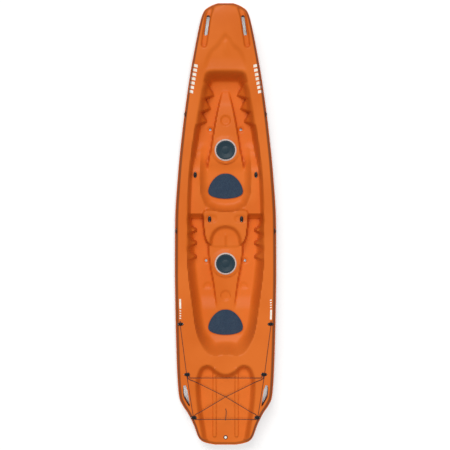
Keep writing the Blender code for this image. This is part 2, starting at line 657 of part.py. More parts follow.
def hatch(place, y, tree, black, grey, rubber):
    base = resting(tree, circle(RIM_OUTER, 32, (0, y)) + circle(HATCH_BORE, 32, (0, y)))
    rim = turned(f"{place}_hatch_rim",
                 [(NECK_INNER, RIM_TOP), (RIM_FLAT, RIM_TOP), (RIM_OUTER, RIM_EDGE), (RIM_OUTER, 0),
                  (HATCH_BORE - GAP, 0), (HATCH_BORE - GAP, NECK_FOOT), (NECK_INNER, NECK_FOOT)],
                 HATCH_SIDES)
    rim.data.materials.append(grey)
    dish = LID_TOP - LID_DISH_DEPTH
    foot = RIM_TOP + GAP
    lid = turned(f"{place}_hatch_lid",
                 [(0, dish), (LID_DISH[0], dish), (LID_DISH[1], LID_TOP),
                  (LID_RADIUS - LID_DISH_DEPTH, LID_TOP), (LID_RADIUS, LID_SHOULDER),
                  (LID_RADIUS, foot), (SEAL_GROOVE[1], foot), (SEAL_GROOVE[1], SEAL_GROOVE_TOP),
                  (SEAL_GROOVE[0], SEAL_GROOVE_TOP), (LID_PLUG, foot), (LID_PLUG, PLUG_FOOT),
                  (PLUG_INNER, PLUG_FOOT), (PLUG_INNER, PLUG_ROOF), (0, PLUG_ROOF)], HATCH_SIDES)
    lid.data.materials.append(black)
    seal = turned(f"{place}_hatch_seal",
                  [(SEAL_LINE + SEAL_RADIUS * math.cos(t), foot + SEAL_RADIUS * (1 + math.sin(t)))
                   for t in (math.pi * (0.5 - k / 4) for k in range(8))], HATCH_SIDES)
    seal.data.materials.append(rubber)
    for obj in (rim, lid, seal):
        obj.location = (0, y, base)
        obj.data.shade_smooth()


def seat_pad(place, y, tree, foam):
    """A pad of closed-cell foam: a blunt arch in front and a shallow curve behind."""
    half = [(0, 0.110), (0.047, 0.1035), (0.094, 0.071), (0.131, 0.023), (0.153, -0.036),
            (0.146, -0.071), (0.115, -0.092), (0.057, -0.107), (0, -0.1105)]
    outline = softened(half + [(-px, py) for px, py in reversed(half) if px > 0], 1)
    outline = [(px, py + y) for px, py in outline]
    base = max(resting(tree, outline), resting(tree, [(px * 0.5, y + (py - y) * 0.5) for px, py in outline]))
    pad = outline_solid(f"{place}_seat_pad", outline, base, base + PAD_THICK)
    pad.data.materials.append(foam)
    edge = pad.modifiers.new("rounded edge", "BEVEL")
    edge.width = 0.003
    edge.segments = 1
    edge.limit_method = "ANGLE"
    edge.angle_limit = math.radians(60)
    smooth(pad)


def drain(tree, black, rubber):
    base = resting(tree, circle(DRAIN_RIM, 20, DRAIN) + circle(DRAIN_BORE, 20, DRAIN))
    fitting = turned("drain_fitting",
                     [(DRAIN_NECK, DRAIN_RIM_TOP), (0.016, DRAIN_RIM_TOP), (DRAIN_RIM, 0.0015),
                      (DRAIN_RIM, 0), (DRAIN_BORE - GAP, 0), (DRAIN_BORE - GAP, DRAIN_FOOT),
                      (DRAIN_NECK, DRAIN_FOOT)], 20)
    low, high = DRAIN_RIM_TOP + GAP, 0.0055
    seal = turned("drain_plug_seal",
                  [(DRAIN_SEAL[1], high), (DRAIN_SEAL[1], low), (DRAIN_SEAL[0], low),
                   (DRAIN_SEAL[0], high)], 20)
    under_head = high + GAP
    plug = turned("drain_plug",
                  [(0, 0.0095), (0.0095, 0.0095), (PLUG_HEAD, 0.0080), (PLUG_HEAD, under_head),
                   (PLUG_SHANK, under_head), (PLUG_SHANK, -0.008), (0, -0.008)], 20)
    for obj, finish in ((fitting, black), (plug, black), (seal, rubber)):
        obj.location = (DRAIN[0], DRAIN[1], base)
        obj.data.materials.append(finish)
        smooth(obj)


def eye_mesh(black):
    """A deck loop: two feet and a half-round arch, one strap wide."""
    outer = EYE_INNER + EYE_STRAP
    arch = [(outer * math.cos(t), outer * math.sin(t))
            for t in (math.radians(a) for a in range(12, 169, 26))]
    hollow = [(EYE_INNER * math.cos(t), EYE_INNER * math.sin(t))
              for t in (math.radians(a) for a in range(180, -1, -30))]
    outline = [(EYE_HALF, 0), (EYE_HALF, EYE_FOOT)] + arch
    outline += [(-EYE_HALF, EYE_FOOT), (-EYE_HALF, 0)] + hollow
    solid = outline_solid("eye", outline, -EYE_WIDTH / 2, EYE_WIDTH / 2)
    mesh = solid.data
    mesh.transform(solid.matrix_world)
    mesh.transform(Matrix.Rotation(math.pi / 2, 4, "X"))
    bpy.data.objects.remove(solid)
    mesh.materials.append(black)
    return mesh


def stand(obj, tree, start, ray, along_axis):
    """Puts a fitting on the sheet where a ray meets it, clear of every facet under it."""
    hit, normal, _, _ = tree.ray_cast(Vector(start), Vector(ray))
    if normal.dot(Vector(ray)) > 0:
        normal = -normal
    x_axis = (Vector(along_axis) - normal * normal.dot(Vector(along_axis))).normalized()
    y_axis = normal.cross(x_axis)
    lift = 0.0
    for u in (-1, -0.45, 0, 0.45, 1):
        for v in (-1, 1):
            probe = hit + x_axis * u * EYE_HALF + y_axis * v * EYE_WIDTH / 2 + normal * 0.05
            found = tree.ray_cast(probe, -normal)[0]
            if found:
                lift = max(lift, 0.05 - (probe - found).length)
    turn = Matrix((x_axis, y_axis, normal)).transposed().to_4x4()
    obj.matrix_world = Matrix.Translation(hit + normal * (lift + GAP)) @ turn
    return obj.matrix_world


EYES = {"bow_side": ((0.344, 0.953), "side"), "mid_side": ((0.424, -0.052), "side"),
        "front_seat": ((0.262, 0.432), "along"), "centre_block": ((0.138, 0.050), "along"),
        "rear_side": ((0.386, -0.850), "across"), "well_front": ((0.330, -1.282), "across"),
        "well_rear": ((0.272, -1.652), "across")}


def eyes(tree, black):
    mesh = eye_mesh(black)
    placed = {}
    for name, ((x, y), manner) in EYES.items():
        for side, sign in (("right", 1), ("left", -1)):
            obj = bpy.data.objects.new(f"{name}_eye_{side}", mesh)
            parts.objects.link(obj)
            start, ray = (sign * x, y, 1.0), (0, 0, -1)
            if manner == "side":
                start = (sign * 1.0, y, float(along(SEAM, y)) + 0.055)
                ray = (-sign, 0, 0)
            axis = (sign, 0, 0) if manner == "across" else (0, 1, 0)
            placed[name, side] = stand(obj, tree, start, ray, axis)
    return placed


def cord(name, points, diameter, finish, spacing):
    """A round cord along a smooth curve through its points."""
    points = np.array([tuple(p) for p in points])
    steps = np.linalg.norm(np.diff(points, axis=0), axis=1)
    reach = np.concatenate([[0], np.cumsum(steps)])
    spans = [np.linspace(a, b, max(1, math.ceil((b - a) / spacing)), endpoint=False)
             for a, b in zip(reach, reach[1:])]
    at = np.concatenate(spans + [reach[-1:]])
    route = np.stack([along(list(zip(reach, points[:, axis])), at) for axis in range(3)], axis=1)
    data = bpy.data.curves.new(name, "CURVE")
    data.dimensions = "3D"
    data.bevel_depth = diameter / 2
    data.bevel_resolution = 2
    data.use_fill_caps = True
    spline = data.splines.new("POLY")
    spline.points.add(len(route) - 1)
    for point, place in zip(spline.points, route):
        point.co = (*place, 1)
    obj = bpy.data.objects.new(name, data)
    parts.objects.link(obj)
    data.materials.append(finish)
    return obj


# ---------------------------------------------------------------- cords

UNDER_ARCH = 0.0050      # how far inboard of an eye's middle the shock cord passes under it
AROUND_LEG = 0.0175      # and where it comes back, round the inner leg
BEND = (AROUND_LEG - UNDER_ARCH) / 2
SIDE_LIFT = 0.0018       # the side line's clearance over the deck
SIDE_OFFSET = 0.004      # the side line passes under the outboard half of the arch
TAIL_LENGTH = 0.10
KNOT_RADIUS = 0.0075


def arc_points(centre, start, sweep, steps=6):
    """Points on a level arc of the shock cord's bend radius, between two headings in degrees."""
    angles = [math.radians(start + sweep * i / steps) for i in range(steps + 1)]
    return [centre + Vector((BEND * math.cos(t), BEND * math.sin(t), 0)) for t in angles]


def front_corner():
    """The shock cord's way round the inner leg of a right front eye, from under the arch."""
    under = [Vector((-UNDER_ARCH, y, 0)) for y in (-0.030, -0.018, 0)]
    turn = arc_points(Vector((-UNDER_ARCH - BEND, 0.009, 0)), 0, 180)
    back = [Vector((-AROUND_LEG, y, 0)) for y in (0, -0.014)]
    return under + turn + back + [Vector((-AROUND_LEG - 0.008, -0.029, 0))]


def rear_corner():
    """The shock cord's way under a right rear eye, from the diagonal to the aft line."""
    under = [Vector((-UNDER_ARCH, y, 0)) for y in (0.018, 0.006, -0.008)]
    return under + arc_points(Vector((-UNDER_ARCH - BEND, -0.009, 0)), 0, -90)


def at_eye(offsets, place, side):
    """A corner's points at an eye; on the left they are mirrored and run the other way."""
    if side == "right":
        return [place @ Vector((step.x, step.y, CORD_LIFT)) for step in offsets]
    return [place @ Vector((step.x, -step.y, CORD_LIFT)) for step in reversed(offsets)]


def straight(leaving, middle, arriving):
    """Two corners of the shock cord and the straight run between them, over or under the crossing."""
    out = [leaving[-1].lerp(middle, share) for share in (0.18, 0.45, 0.85)]
    back = [middle.lerp(arriving[0], share) for share in (0.15, 0.55, 0.82)]
    return [*leaving, *out, middle, *back, *arriving]


def cords(tree, placed, elastic, braid):
    front, rear = (at_eye(corner(), placed[name, "right"], "right")
                   for corner, name in ((front_corner, "well_front"), (rear_corner, "well_rear")))
    front_left, rear_left = (at_eye(corner(), placed[name, "left"], "left")
                             for corner, name in ((front_corner, "well_front"), (rear_corner, "well_rear")))
    knot = Vector((0, rear[-1].y, rear[-1].z))
    clear = Vector((KNOT_RADIUS + GAP * 3, 0, 0))
    crossing = Vector((0, (front[0].y + rear[0].y) / 2, (front[0].z + rear[0].z) / 2))
    high, low = crossing + Vector((0, 0, 0.004)), crossing - Vector((0, 0, 0.004))
    route = [knot - clear, *straight(rear_left, high, front), *straight(front_left, low, rear), knot + clear]
    cord("tank_well_shock_cord", route, SHOCK_CORD, elastic, 0.09)

    bm = bmesh.new()
    bmesh.ops.create_uvsphere(bm, u_segments=12, v_segments=7, radius=KNOT_RADIUS)
    ball = from_bmesh(bm, "shock_cord_knot")
    ball.location = knot
    ball.data.materials.append(elastic)
    tail = [Vector((0, KNOT_RADIUS + GAP * 3, 0)), Vector((0.004, 0.034, -0.010)),
            Vector((0.006, 0.062, -0.030)), Vector((0.001, TAIL_LENGTH - 0.016, -0.052))]
    cord("shock_cord_tail", [knot + step for step in tail], SHOCK_CORD, elastic, 0.012)

    for side, sign in (("right", 1), ("left", -1)):
        stops = [placed[name, side].translation for name in ("rear_side", "well_front", "well_rear")]
        stops = [stop + Vector((sign * SIDE_OFFSET, 0, 0)) for stop in stops]
        ends = [stops[0] + Vector((0, 0.016, 0)), *stops, stops[-1] - Vector((0, 0.014, 0))]
        route = []
        for a, b in zip(ends, ends[1:]):
            count = max(1, round((b - a).length / 0.04))
            for step in range(count):
                spot = a.lerp(b, step / count)
                route.append(spot)
        route.append(ends[-1])
        for spot in route:
            reach = [(spot.x + dx, spot.y + dy) for dx in (-0.008, 0, 0.008) for dy in (-0.012, 0, 0.012)]
            spot.z = max(level(tree, px, py) for px, py in reach) + SIDE_CORD / 2 + SIDE_LIFT
        cord(f"side_line_{side}", route, SIDE_CORD, braid, 0.05)


def main():
    black = paint("black moulded nylon", (0.012, 0.012, 0.013), 0.45)
    lid_blue = paint("dark blue-grey moulded lid", (0.020, 0.050, 0.070), 0.40)
    grey = paint("pale grey moulded rim", (0.55, 0.50, 0.49), 0.45)
    rubber = paint("black seal rubber", (0.01, 0.01, 0.01), 0.70)
    foam = paint("slate blue closed-cell foam", (0.035, 0.063, 0.102), 0.85)
    elastic = paint("black braided shock cord", (0.015, 0.014, 0.014), 0.80)
    braid = paint("black braided polyester line", (0.016, 0.015, 0.015), 0.75)
    deck_tree = make_sheets()
    for place, y in HATCHES.items():
        hatch(place, y, deck_tree, lid_blue, grey, rubber)
    for place, y in SEATS.items():
        seat_pad(place, y, deck_tree, foam)
    drain(deck_tree, black, rubber)
    placed = eyes(deck_tree, black)
    cords(deck_tree, placed, elastic, braid)


main()
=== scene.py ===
import json
import math

import bmesh
import bpy
import numpy as np
from mathutils import Matrix, Vector
from mathutils.bvhtree import BVHTree

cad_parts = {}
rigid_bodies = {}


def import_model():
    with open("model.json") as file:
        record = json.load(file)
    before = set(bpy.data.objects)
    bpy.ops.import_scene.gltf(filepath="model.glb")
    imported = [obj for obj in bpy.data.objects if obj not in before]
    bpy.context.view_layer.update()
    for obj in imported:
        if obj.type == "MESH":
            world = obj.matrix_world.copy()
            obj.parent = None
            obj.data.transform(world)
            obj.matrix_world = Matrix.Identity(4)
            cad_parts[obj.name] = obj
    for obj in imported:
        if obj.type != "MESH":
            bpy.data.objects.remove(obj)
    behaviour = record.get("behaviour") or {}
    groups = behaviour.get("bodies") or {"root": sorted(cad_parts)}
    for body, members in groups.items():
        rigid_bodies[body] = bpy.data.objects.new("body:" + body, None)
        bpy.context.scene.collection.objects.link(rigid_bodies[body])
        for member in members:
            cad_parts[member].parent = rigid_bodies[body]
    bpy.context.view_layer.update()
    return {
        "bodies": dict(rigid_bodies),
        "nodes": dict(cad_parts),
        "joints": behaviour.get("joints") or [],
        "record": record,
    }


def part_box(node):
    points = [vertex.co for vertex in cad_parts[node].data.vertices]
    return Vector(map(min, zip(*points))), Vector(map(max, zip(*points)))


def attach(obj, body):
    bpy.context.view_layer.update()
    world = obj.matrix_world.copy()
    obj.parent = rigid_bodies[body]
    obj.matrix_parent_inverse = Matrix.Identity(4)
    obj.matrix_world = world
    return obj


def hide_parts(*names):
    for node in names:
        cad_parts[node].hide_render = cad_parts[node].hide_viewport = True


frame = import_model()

# ---------------------------------------------------------------- camera, light and floor

VIEW_ACROSS = 3.8777     # the width seen at the height of the seam
VIEW_MIDDLE = -0.005
SEAM_HEIGHT = 0.2
LENS = 120.0
SENSOR = 36.0
WORLD_STRENGTH = 0.16
WHITE = (1.0, 1.0, 1.0)
WARM_WHITE = (1.0, 0.985, 0.96)
COOL_WHITE = (0.97, 0.98, 1.0)


def placed_in_scene(obj):
    bpy.context.scene.collection.objects.link(obj)
    return obj


def set_camera():
    """Straight down on the deck, with the bow at the top."""
    data = bpy.data.cameras.new("overhead_camera")
    data.lens = LENS
    data.sensor_width = SENSOR
    camera = placed_in_scene(bpy.data.objects.new("overhead_camera", data))
    camera.location = (VIEW_MIDDLE, 0.0, VIEW_ACROSS * LENS / SENSOR + SEAM_HEIGHT)
    data.clip_end = 60
    bpy.context.scene.camera = camera


def add_light(name, place, strength, softness, colour):
    """A distant soft light that shines from a place towards the middle of the boat."""
    data = bpy.data.lights.new(name, "SUN")
    data.energy = strength
    data.angle = math.radians(softness)
    data.color = colour
    light = placed_in_scene(bpy.data.objects.new(name, data))
    light.location = place
    light.rotation_euler = (-Vector(place)).to_track_quat("-Z", "Y").to_euler()
    return light


set_camera()
add_light("bow_soft_light", (-0.9, 3.0, 5.0), 0.9, 28, WARM_WHITE)
overhead = add_light("overhead_soft_light", (0.1, 0.1, 6.0), 2.15, 16, WHITE)
overhead.visible_glossy = False
world = bpy.data.worlds.new("studio")
world.use_nodes = True
sky = world.node_tree.nodes["Background"]
sky.inputs["Color"].default_value = (*COOL_WHITE, 1)
sky.inputs["Strength"].default_value = WORLD_STRENGTH
bpy.context.scene.world = world
bpy.context.scene.view_settings.view_transform = "Standard"

HALF_LENGTH = 1.9
SHEET = 0.004            # wall of both moulded sheets
GAP = 0.0003             # clearance between touching pieces
TOP_SCALE = (0.924, 0.984)      # the deck's top edge, as a share of the seam's outline
BILGE_SCALE = (0.84, 0.9)      # the flat of the bottom, as a share of the seam's outline

# Where the hull's lines run, as shares of the bottom's half width: keel, channel, runner, bilge.
HULL_SHARES = [0, 0.05, 0.1, 0.18, 0.32, 0.46, 0.56, 0.72, 0.86, 1]

# Each of these is a list of (place along the boat, value).
HALF_WIDTH = [
    (-1.9, 0.09), (-1.893, 0.135), (-1.872, 0.2), (-1.84, 0.232), (-1.736, 0.272), (-1.633, 0.322),
    (-1.56, 0.37), (-1.5, 0.398), (-1.4, 0.41), (-1.22, 0.42), (-0.8, 0.432), (-0.39, 0.438),
    (0.02, 0.436), (0.435, 0.411), (0.849, 0.368), (1.262, 0.31), (1.573, 0.253), (1.74, 0.217),
    (1.8, 0.2), (1.84, 0.18), (1.869, 0.142), (1.89, 0.098), (1.9, 0.065)]
SHEER = [
    (-1.9, 0.25), (-1.6, 0.262), (-1.2, 0.268), (-0.4, 0.272), (0.4, 0.28), (1.0, 0.3),
    (1.5, 0.334), (1.8, 0.35), (1.9, 0.344)]
SEAM = [
    (-1.9, 0.148), (-1.5, 0.162), (-1.2, 0.17), (-0.4, 0.172), (0.4, 0.176), (1.0, 0.196),
    (1.5, 0.236), (1.9, 0.272)]
CROWN = [(-1.9, 0.006), (-1.1, 0.004), (1.2, 0.006), (1.5, 0.014), (1.9, 0.01)]
KEEL = [
    (-1.9, 0.1), (-1.7, 0.045), (-1.5, 0.012), (-1.36, 0.0), (1.1, 0.0), (1.3, 0.01),
    (1.5, 0.042), (1.65, 0.085), (1.8, 0.16), (1.9, 0.215)]
FOOTWELL = [
    (-1.12, 0.19), (-1.00, 0.15), (-0.94, 0.134), (-0.74, 0.134), (-0.6, 0.11), (0.00, 0.104),
    (0.5, 0.108), (0.9, 0.106), (1.2, 0.11), (1.32, 0.116)]
CONSOLE = [
    (-0.745, 0.134), (-0.66, 0.142), (-0.46, 0.16), (-0.2, 0.168), (0.4, 0.134), (0.5, 0.15),
    (0.62, 0.165), (0.8, 0.17), (1.02, 0.16), (1.12, 0.128), (1.17, 0.11)]
CONSOLE_HALF = [
    (-0.745, 0.072), (-0.5, 0.105), (-0.34, 0.134), (-0.18, 0.15), (0.45, 0.156), (0.7, 0.119),
    (0.9, 0.086), (1.16, 0.028), (1.2, 0.014)]
WALL_WIDTH = [
    (-1.12, 0.15), (-1.00, 0.11), (-0.85, 0.084), (-0.4, 0.078), (0.00, 0.05), (0.15, 0.032),
    (0.42, 0.032), (0.66, 0.05), (1.15, 0.06), (1.25, 0.1), (1.33, 0.115)]

# Half outlines run from the bow end to the stern end on the +X side and are mirrored.
COCKPIT = [
    (0, 1.33), (0.135, 1.33), (0.185, 1.3), (0.195, 1.25), (0.228, 1.08), (0.285, 0.74),
    (0.317, 0.48), (0.335, 0.1), (0.336, -0.15), (0.326, -0.4), (0.286, -0.7), (0.261, -0.89),
    (0.226, -1.000), (0.165, -1.1), (0.1, -1.128), (0, -1.108)]
SEAT_RIM = [
    (0.214, 0.66), (0.222, 0.392), (0.219, 0.267), (0.178, 0.165), (0.09, 0.125), (0, 0.1146)]
SHELF_END = 0.094        # where the shelves beside the front seat drop to the rear footwells
SHELF_TOP = 0.198
SHELF_START = 0.45
SCOOP = 1.8              # how sharply a scooped wall steepens towards its rim
BLOCK_TOP = 0.226
BLOCK = [
    (0, 0.1), (0.188, 0.14), (0.187, 0.03), (0.17, -0.137), (0.12, -0.172), (0, -0.18)]
BOWL = [
    (0, 0.006), (0.075, -0.01), (0.125, -0.06), (0.146, -0.13), (0.15, -0.24), (0, -0.24)]
BOWL_FLOOR = 0.176
TANK_WELL = [
    (0, -1.276), (0.06, -1.255), (0.115, -1.2), (0.171, -1.19), (0.222, -1.215), (0.25, -1.275),
    (0.268, -1.36), (0.258, -1.52), (0.238, -1.68), (0.212, -1.815), (0.2, -1.96), (0, -1.96)]
WELL_FLOOR = 0.18
WELL_WALL = 0.055
FORE_RECESS = [
    (0, 1.66), (0.05, 1.605), (0.088, 1.545), (0.14, 1.51), (0.182, 1.43), (0.2, 1.34),
    (0.196, 1.3), (0, 1.3)]
# Closed outlines on the +X side only, each with a twin on the other side.
FRONT_TEETH = [
    [(0.161, 1.212), (0.111, 1.125), (0.185, 1.093), (0.26, 1.093), (0.26, 1.212)],
    [(0.185, 1.093), (0.14, 1.01), (0.219, 0.973), (0.29, 0.973), (0.29, 1.093)],
    [(0.219, 0.973), (0.173, 0.899), (0.25, 0.862), (0.32, 0.862), (0.32, 0.973)]]
REAR_TEETH_AT = [-0.004, -0.116, -0.233]
REAR_TOOTH = [(0.318, 0.0), (0.262, -0.04), (0.3, -0.058), (0.4, -0.058), (0.4, 0.0)]
TOOTH_TOP = 0.178
FRONT_TOOTH_FOOT = 0.15     # a front footrest's height at its tip, from where it climbs outwards
FRONT_TOOTH_TOP = 0.24
TOOTH_WALL = 0.014
POCKET = [(0.076, 0.088), (0.176, 0.088), (0.182, 0.022), (0.1, 0.016), (0.072, 0.04)]
HEEL_WELL = [(0.118, -0.556), (0.204, -0.556), (0.192, -0.51), (0.16, -0.488), (0.124, -0.5)]

HATCHES = {"front": 0.647, "rear": -0.3335}
HATCH_STEP_RADIUS = 0.122
HATCH_STEP_TOP = 0.178
HATCH_BORE = 0.078
CUPS = [0.903, -0.61]   # round recesses on the centre line
CUP_RADIUS = 0.046
CUP_DEPTH = 0.012
SCUPPERS = [(0.133, 0.829), (0.169, -0.3085)]
SCUPPER_BORE = 0.012
SCUPPER_DISH = 0.027
SEATS = {"front": 0.337, "rear": -0.8405}
SEAT_FLOOR = 0.134

BOW_SLOT = [(0.148, 1.776), (0.169, 1.632)]      # its centre line
BOW_TROUGH = [(0.132, 1.838), (0.15, 1.776), (0.171, 1.632), (0.184, 1.54)]
BOW_SLOT_HALF = 0.014
TROUGH_DEPTH = 0.024
STERN_SLOT = [
    (0.368, -1.376), (0.334, -1.374), (0.306, -1.545), (0.312, -1.56), (0.352, -1.49),
    (0.362, -1.47)]
DRAIN = (0.0, -1.832)
DRAIN_BORE = 0.011


# ---------------------------------------------------------------- shape functions

def along(points, at):
    """A smooth curve that never overshoots, through (place, value) points."""
    knots, values = np.array(points, float).T
    rises = np.diff(values) / np.diff(knots)
    before, after = rises[:-1], rises[1:]
    total = np.where(before * after > 0, before + after, 1.0)
    inner = np.where(before * after > 0, 2 * before * after / total, 0.0)
    slopes = np.concatenate([rises[:1], inner, rises[-1:]])
    at = np.clip(at, knots[0], knots[-1])
    i = np.clip(np.searchsorted(knots, at) - 1, 0, len(knots) - 2)
    span = knots[i + 1] - knots[i]
    t = (at - knots[i]) / span
    return ((1 + 2 * t) * (1 - t) ** 2 * values[i] + t * (1 - t) ** 2 * span * slopes[i]
            + t * t * (3 - 2 * t) * values[i + 1] - t * t * (1 - t) * span * slopes[i + 1])


def ease(t):
    """0 below 0, 1 above 1, and a smooth rise between."""
    t = np.clip(t, 0, 1)
    return t * t * (3 - 2 * t)


def inside(outline, x, y):
    """How deep each point lies inside a closed outline; negative outside it."""
    nearest = np.full(np.shape(x), np.inf)
    crossed = np.zeros(np.shape(x), bool)
    for (ax, ay), (bx, by) in zip(outline, outline[1:] + outline[:1]):
        ex, ey = bx - ax, by - ay
        t = np.clip(((x - ax) * ex + (y - ay) * ey) / (ex * ex + ey * ey), 0, 1)
        nearest = np.minimum(nearest, np.hypot(x - ax - t * ex, y - ay - t * ey))
        if ay != by:
            crossed ^= ((ay > y) != (by > y)) & (x < ax + (y - ay) * ex / ey)
    return np.where(crossed, nearest, -nearest)


def near(route, x, y):
    """The distance from each point to an open route of straight runs."""
    nearest = np.full(np.shape(x), np.inf)
    for (ax, ay), (bx, by) in zip(route, route[1:]):
        ex, ey = bx - ax, by - ay
        t = np.clip(((x - ax) * ex + (y - ay) * ey) / (ex * ex + ey * ey), 0, 1)
        nearest = np.minimum(nearest, np.hypot(x - ax - t * ex, y - ay - t * ey))
    return nearest


def softened(outline, rounds=2):
    """The outline with its corners cut back into short curves."""
    for _ in range(rounds):
        ends = zip(outline, outline[1:] + outline[:1])
        outline = [(a[0] + (b[0] - a[0]) * share, a[1] + (b[1] - a[1]) * share)
                   for a, b in ends for share in (0.25, 0.75)]
    return outline


def closed(half):
    """A closed outline from its +X half, which starts and ends on the centre line."""
    return half + [(-px, py) for px, py in reversed(half) if px > 0]


def whole(half):
    return softened(closed(half))


def circle(radius, count, centre=(0, 0)):
    angles = [2 * math.pi * i / count for i in range(count)]
    return [(centre[0] + radius * math.cos(t), centre[1] + radius * math.sin(t)) for t in angles]


def toward(z, target, share):
    return z + (target - z) * share


def cockpit_floor(x, y):
    """The floor of the cockpits before the walls rise to the gunwale."""
    a = np.abs(x)
    z = along(FOOTWELL, y)
    on_console = ease((along(CONSOLE_HALF, y) - a) / 0.016 + 0.5)
    on_console *= ease((y + 0.745) / 0.02) * ease((1.175 - y) / 0.02)
    z = toward(z, np.maximum(along(CONSOLE, y), z), on_console)
    z = toward(z, SEAT_FLOOR, ease((0.55 - y) / 0.1) * ease((y - 0.05) / 0.02))

    ramp = SHELF_TOP - 0.075 * ease((y - SHELF_START) / 0.2)
    shelf = [(0.4, 0.66)] + SEAT_RIM + [(-px, py) for px, py in reversed(SEAT_RIM[:-1])]
    shelf += [(-0.4, 0.66), (-0.4, SHELF_END), (0.4, SHELF_END)]
    flank = inside(shelf, x, y)
    shelf_wall = np.where(y < SHELF_END + 0.002, 0.028, 0.072)
    climb = np.clip(1 + flank / shelf_wall, 0, 1)
    z = toward(z, np.maximum(z, ramp), climb ** SCOOP)
    z = toward(z, BLOCK_TOP, ease(1 + inside(whole(BLOCK), x, y) / 0.014))
    z = toward(z, np.minimum(z, BOWL_FLOOR + 0.05 * np.maximum(0, y + 0.1)),
               ease(inside(whole(BOWL), x, y) / 0.038))
    rib = ease(1 - a / 0.014) * ease((-0.06 - y) / 0.05) * ease((y + 0.185) / 0.01)
    z = z + 0.01 * rib

    for tooth in FRONT_TEETH:
        slope = np.minimum(FRONT_TOOTH_TOP, FRONT_TOOTH_FOOT + 1.3 * np.maximum(0, a - tooth[1][0]))
        z = toward(z, np.maximum(z, slope), ease(1 + inside(tooth, a, y) / TOOTH_WALL))
    for start in REAR_TEETH_AT:
        tooth = [(px, py + start) for px, py in REAR_TOOTH]
        z = toward(z, TOOTH_TOP, ease(1 + inside(tooth, a, y) / TOOTH_WALL))

    z = z - 0.01 * ease(inside(softened(POCKET), a, y) / 0.012)
    z = z - 0.008 * ease(inside(softened(HEEL_WELL), a, y) / 0.014)
    for place in HATCHES.values():
        z = toward(z, HATCH_STEP_TOP, ease((HATCH_STEP_RADIUS - np.hypot(a, y - place)) / 0.008))
        z = z - 0.006 * np.exp(-((np.hypot(a, y - place) - 0.109) / 0.006) ** 2)
    for place in CUPS:
        z = z - CUP_DEPTH * ease((CUP_RADIUS - np.hypot(a, y - place)) / 0.01)
    for sx, sy in SCUPPERS:
        z = z - 0.01 * ease((SCUPPER_DISH - np.hypot(a - sx, y - sy)) / 0.009)
    return z


def deck_height(x, y):
    """The upper face of the deck sheet."""
    a = np.abs(x)
    edge = along(HALF_WIDTH, y / TOP_SCALE[1]) * TOP_SCALE[0]
    z = along(SHEER, y) + along(CROWN, y) * (1 - (a / edge) ** 2)

    arch = ease(inside(whole(FORE_RECESS), x, y) / 0.052)
    z = z - 0.017 * arch * ease((1.7 - y) / 0.1) * ease((y - 1.28) / 0.16)
    z = z + 0.008 * np.exp(-(a / 0.028) ** 2) * ease((1.6 - y) / 0.05) * ease((y - 1.42) / 0.12)
    z = z - TROUGH_DEPTH * ease((0.033 - near(BOW_TROUGH, a, y)) / 0.02)

    tub = inside(softened(closed(COCKPIT), 1), x, y)
    drop = np.clip(tub / along(WALL_WIDTH, y), 0, 1)
    scooped = ease((-0.05 - y) / 0.3)
    z = toward(z, cockpit_floor(x, y), toward(ease(drop), 1 - (1 - drop) ** SCOOP, scooped))

    well = inside(whole(TANK_WELL), x, y)
    z = toward(z, WELL_FLOOR, ease(well / WELL_WALL))
    ridge = near([(0.095, -1.24), (0.095, -1.815)], a, y)
    z = np.maximum(z, toward(z, z + 0.014, ease((0.02 - ridge) / 0.01)))
    return z


def hull_height(x, y):
    """The lower face of the hull sheet: a flat keel and two flat runners with channels between."""
    edge = np.maximum(along(HALF_WIDTH, y / BILGE_SCALE[1]), 0.05) * BILGE_SCALE[0]
    share = np.abs(x) / edge
    keel, crest, hollow, runner, bilge = (HULL_SHARES[i] for i in (2, 3, 5, 6, 7))
    flat = ease((y + 1.55) / 0.25) * ease((1.35 - y) / 0.3)
    channel = 0.02 * ease((share - keel) / (crest - keel)) * ease((runner - share) / (runner - hollow))
    turn = 0.05 * ease((share - bilge) / (1.08 - bilge))
    rise = 0.05 * share ** 2 * (1 - flat)
    return along(KEEL, y) + channel * flat + turn + rise


# ---------------------------------------------------------------- materials

def linear(code):
    """An sRGB hex colour as linear red, green, blue and alpha."""
    shares = [int(code[i:i + 2], 16) / 255 for i in (1, 3, 5)]
    return (*(s / 12.92 if s <= 0.04045 else ((s + 0.055) / 1.055) ** 2.4 for s in shares), 1)


def add(tree, kind, feeds=None, **settings):
    """Adds a node with its settings, and feeds its inputs with values or other nodes' outputs."""
    made = tree.nodes.new(kind)
    for name, value in settings.items():
        setattr(made, name, value)
    for socket, value in (feeds or {}).items():
        if isinstance(value, bpy.types.NodeSocket):
            tree.links.new(value, made.inputs[socket])
        else:
            made.inputs[socket].default_value = value
    return made


def feed(shader, socket, output):
    shader.id_data.links.new(output, shader.inputs[socket])


def new_material(name, colour, roughness, **sockets):
    """A material with its shader, and object coordinates to hang patterns on."""
    material = bpy.data.materials.new(name)
    material.use_nodes = True
    tree = material.node_tree
    shader = tree.nodes["Principled BSDF"]
    shader.inputs["Base Color"].default_value = linear(colour)
    shader.inputs["Roughness"].default_value = roughness
    for socket, value in sockets.items():
        shader.inputs[socket.replace("_", " ")].default_value = value
    place = add(tree, "ShaderNodeTexCoord").outputs["Object"]
    return material, tree, shader, place


def scale_for(millimetres):
    """The noise scale whose features are this far apart, in metres of object space."""
    return 1000 / millimetres


def ramp(tree, factor, low, high):
    """A smooth rise from 0 to 1 between two values of a pattern."""
    made = add(tree, "ShaderNodeMapRange", {"Value": factor, "From Min": low, "From Max": high},
               interpolation_type="SMOOTHSTEP")
    return made.outputs["Result"]


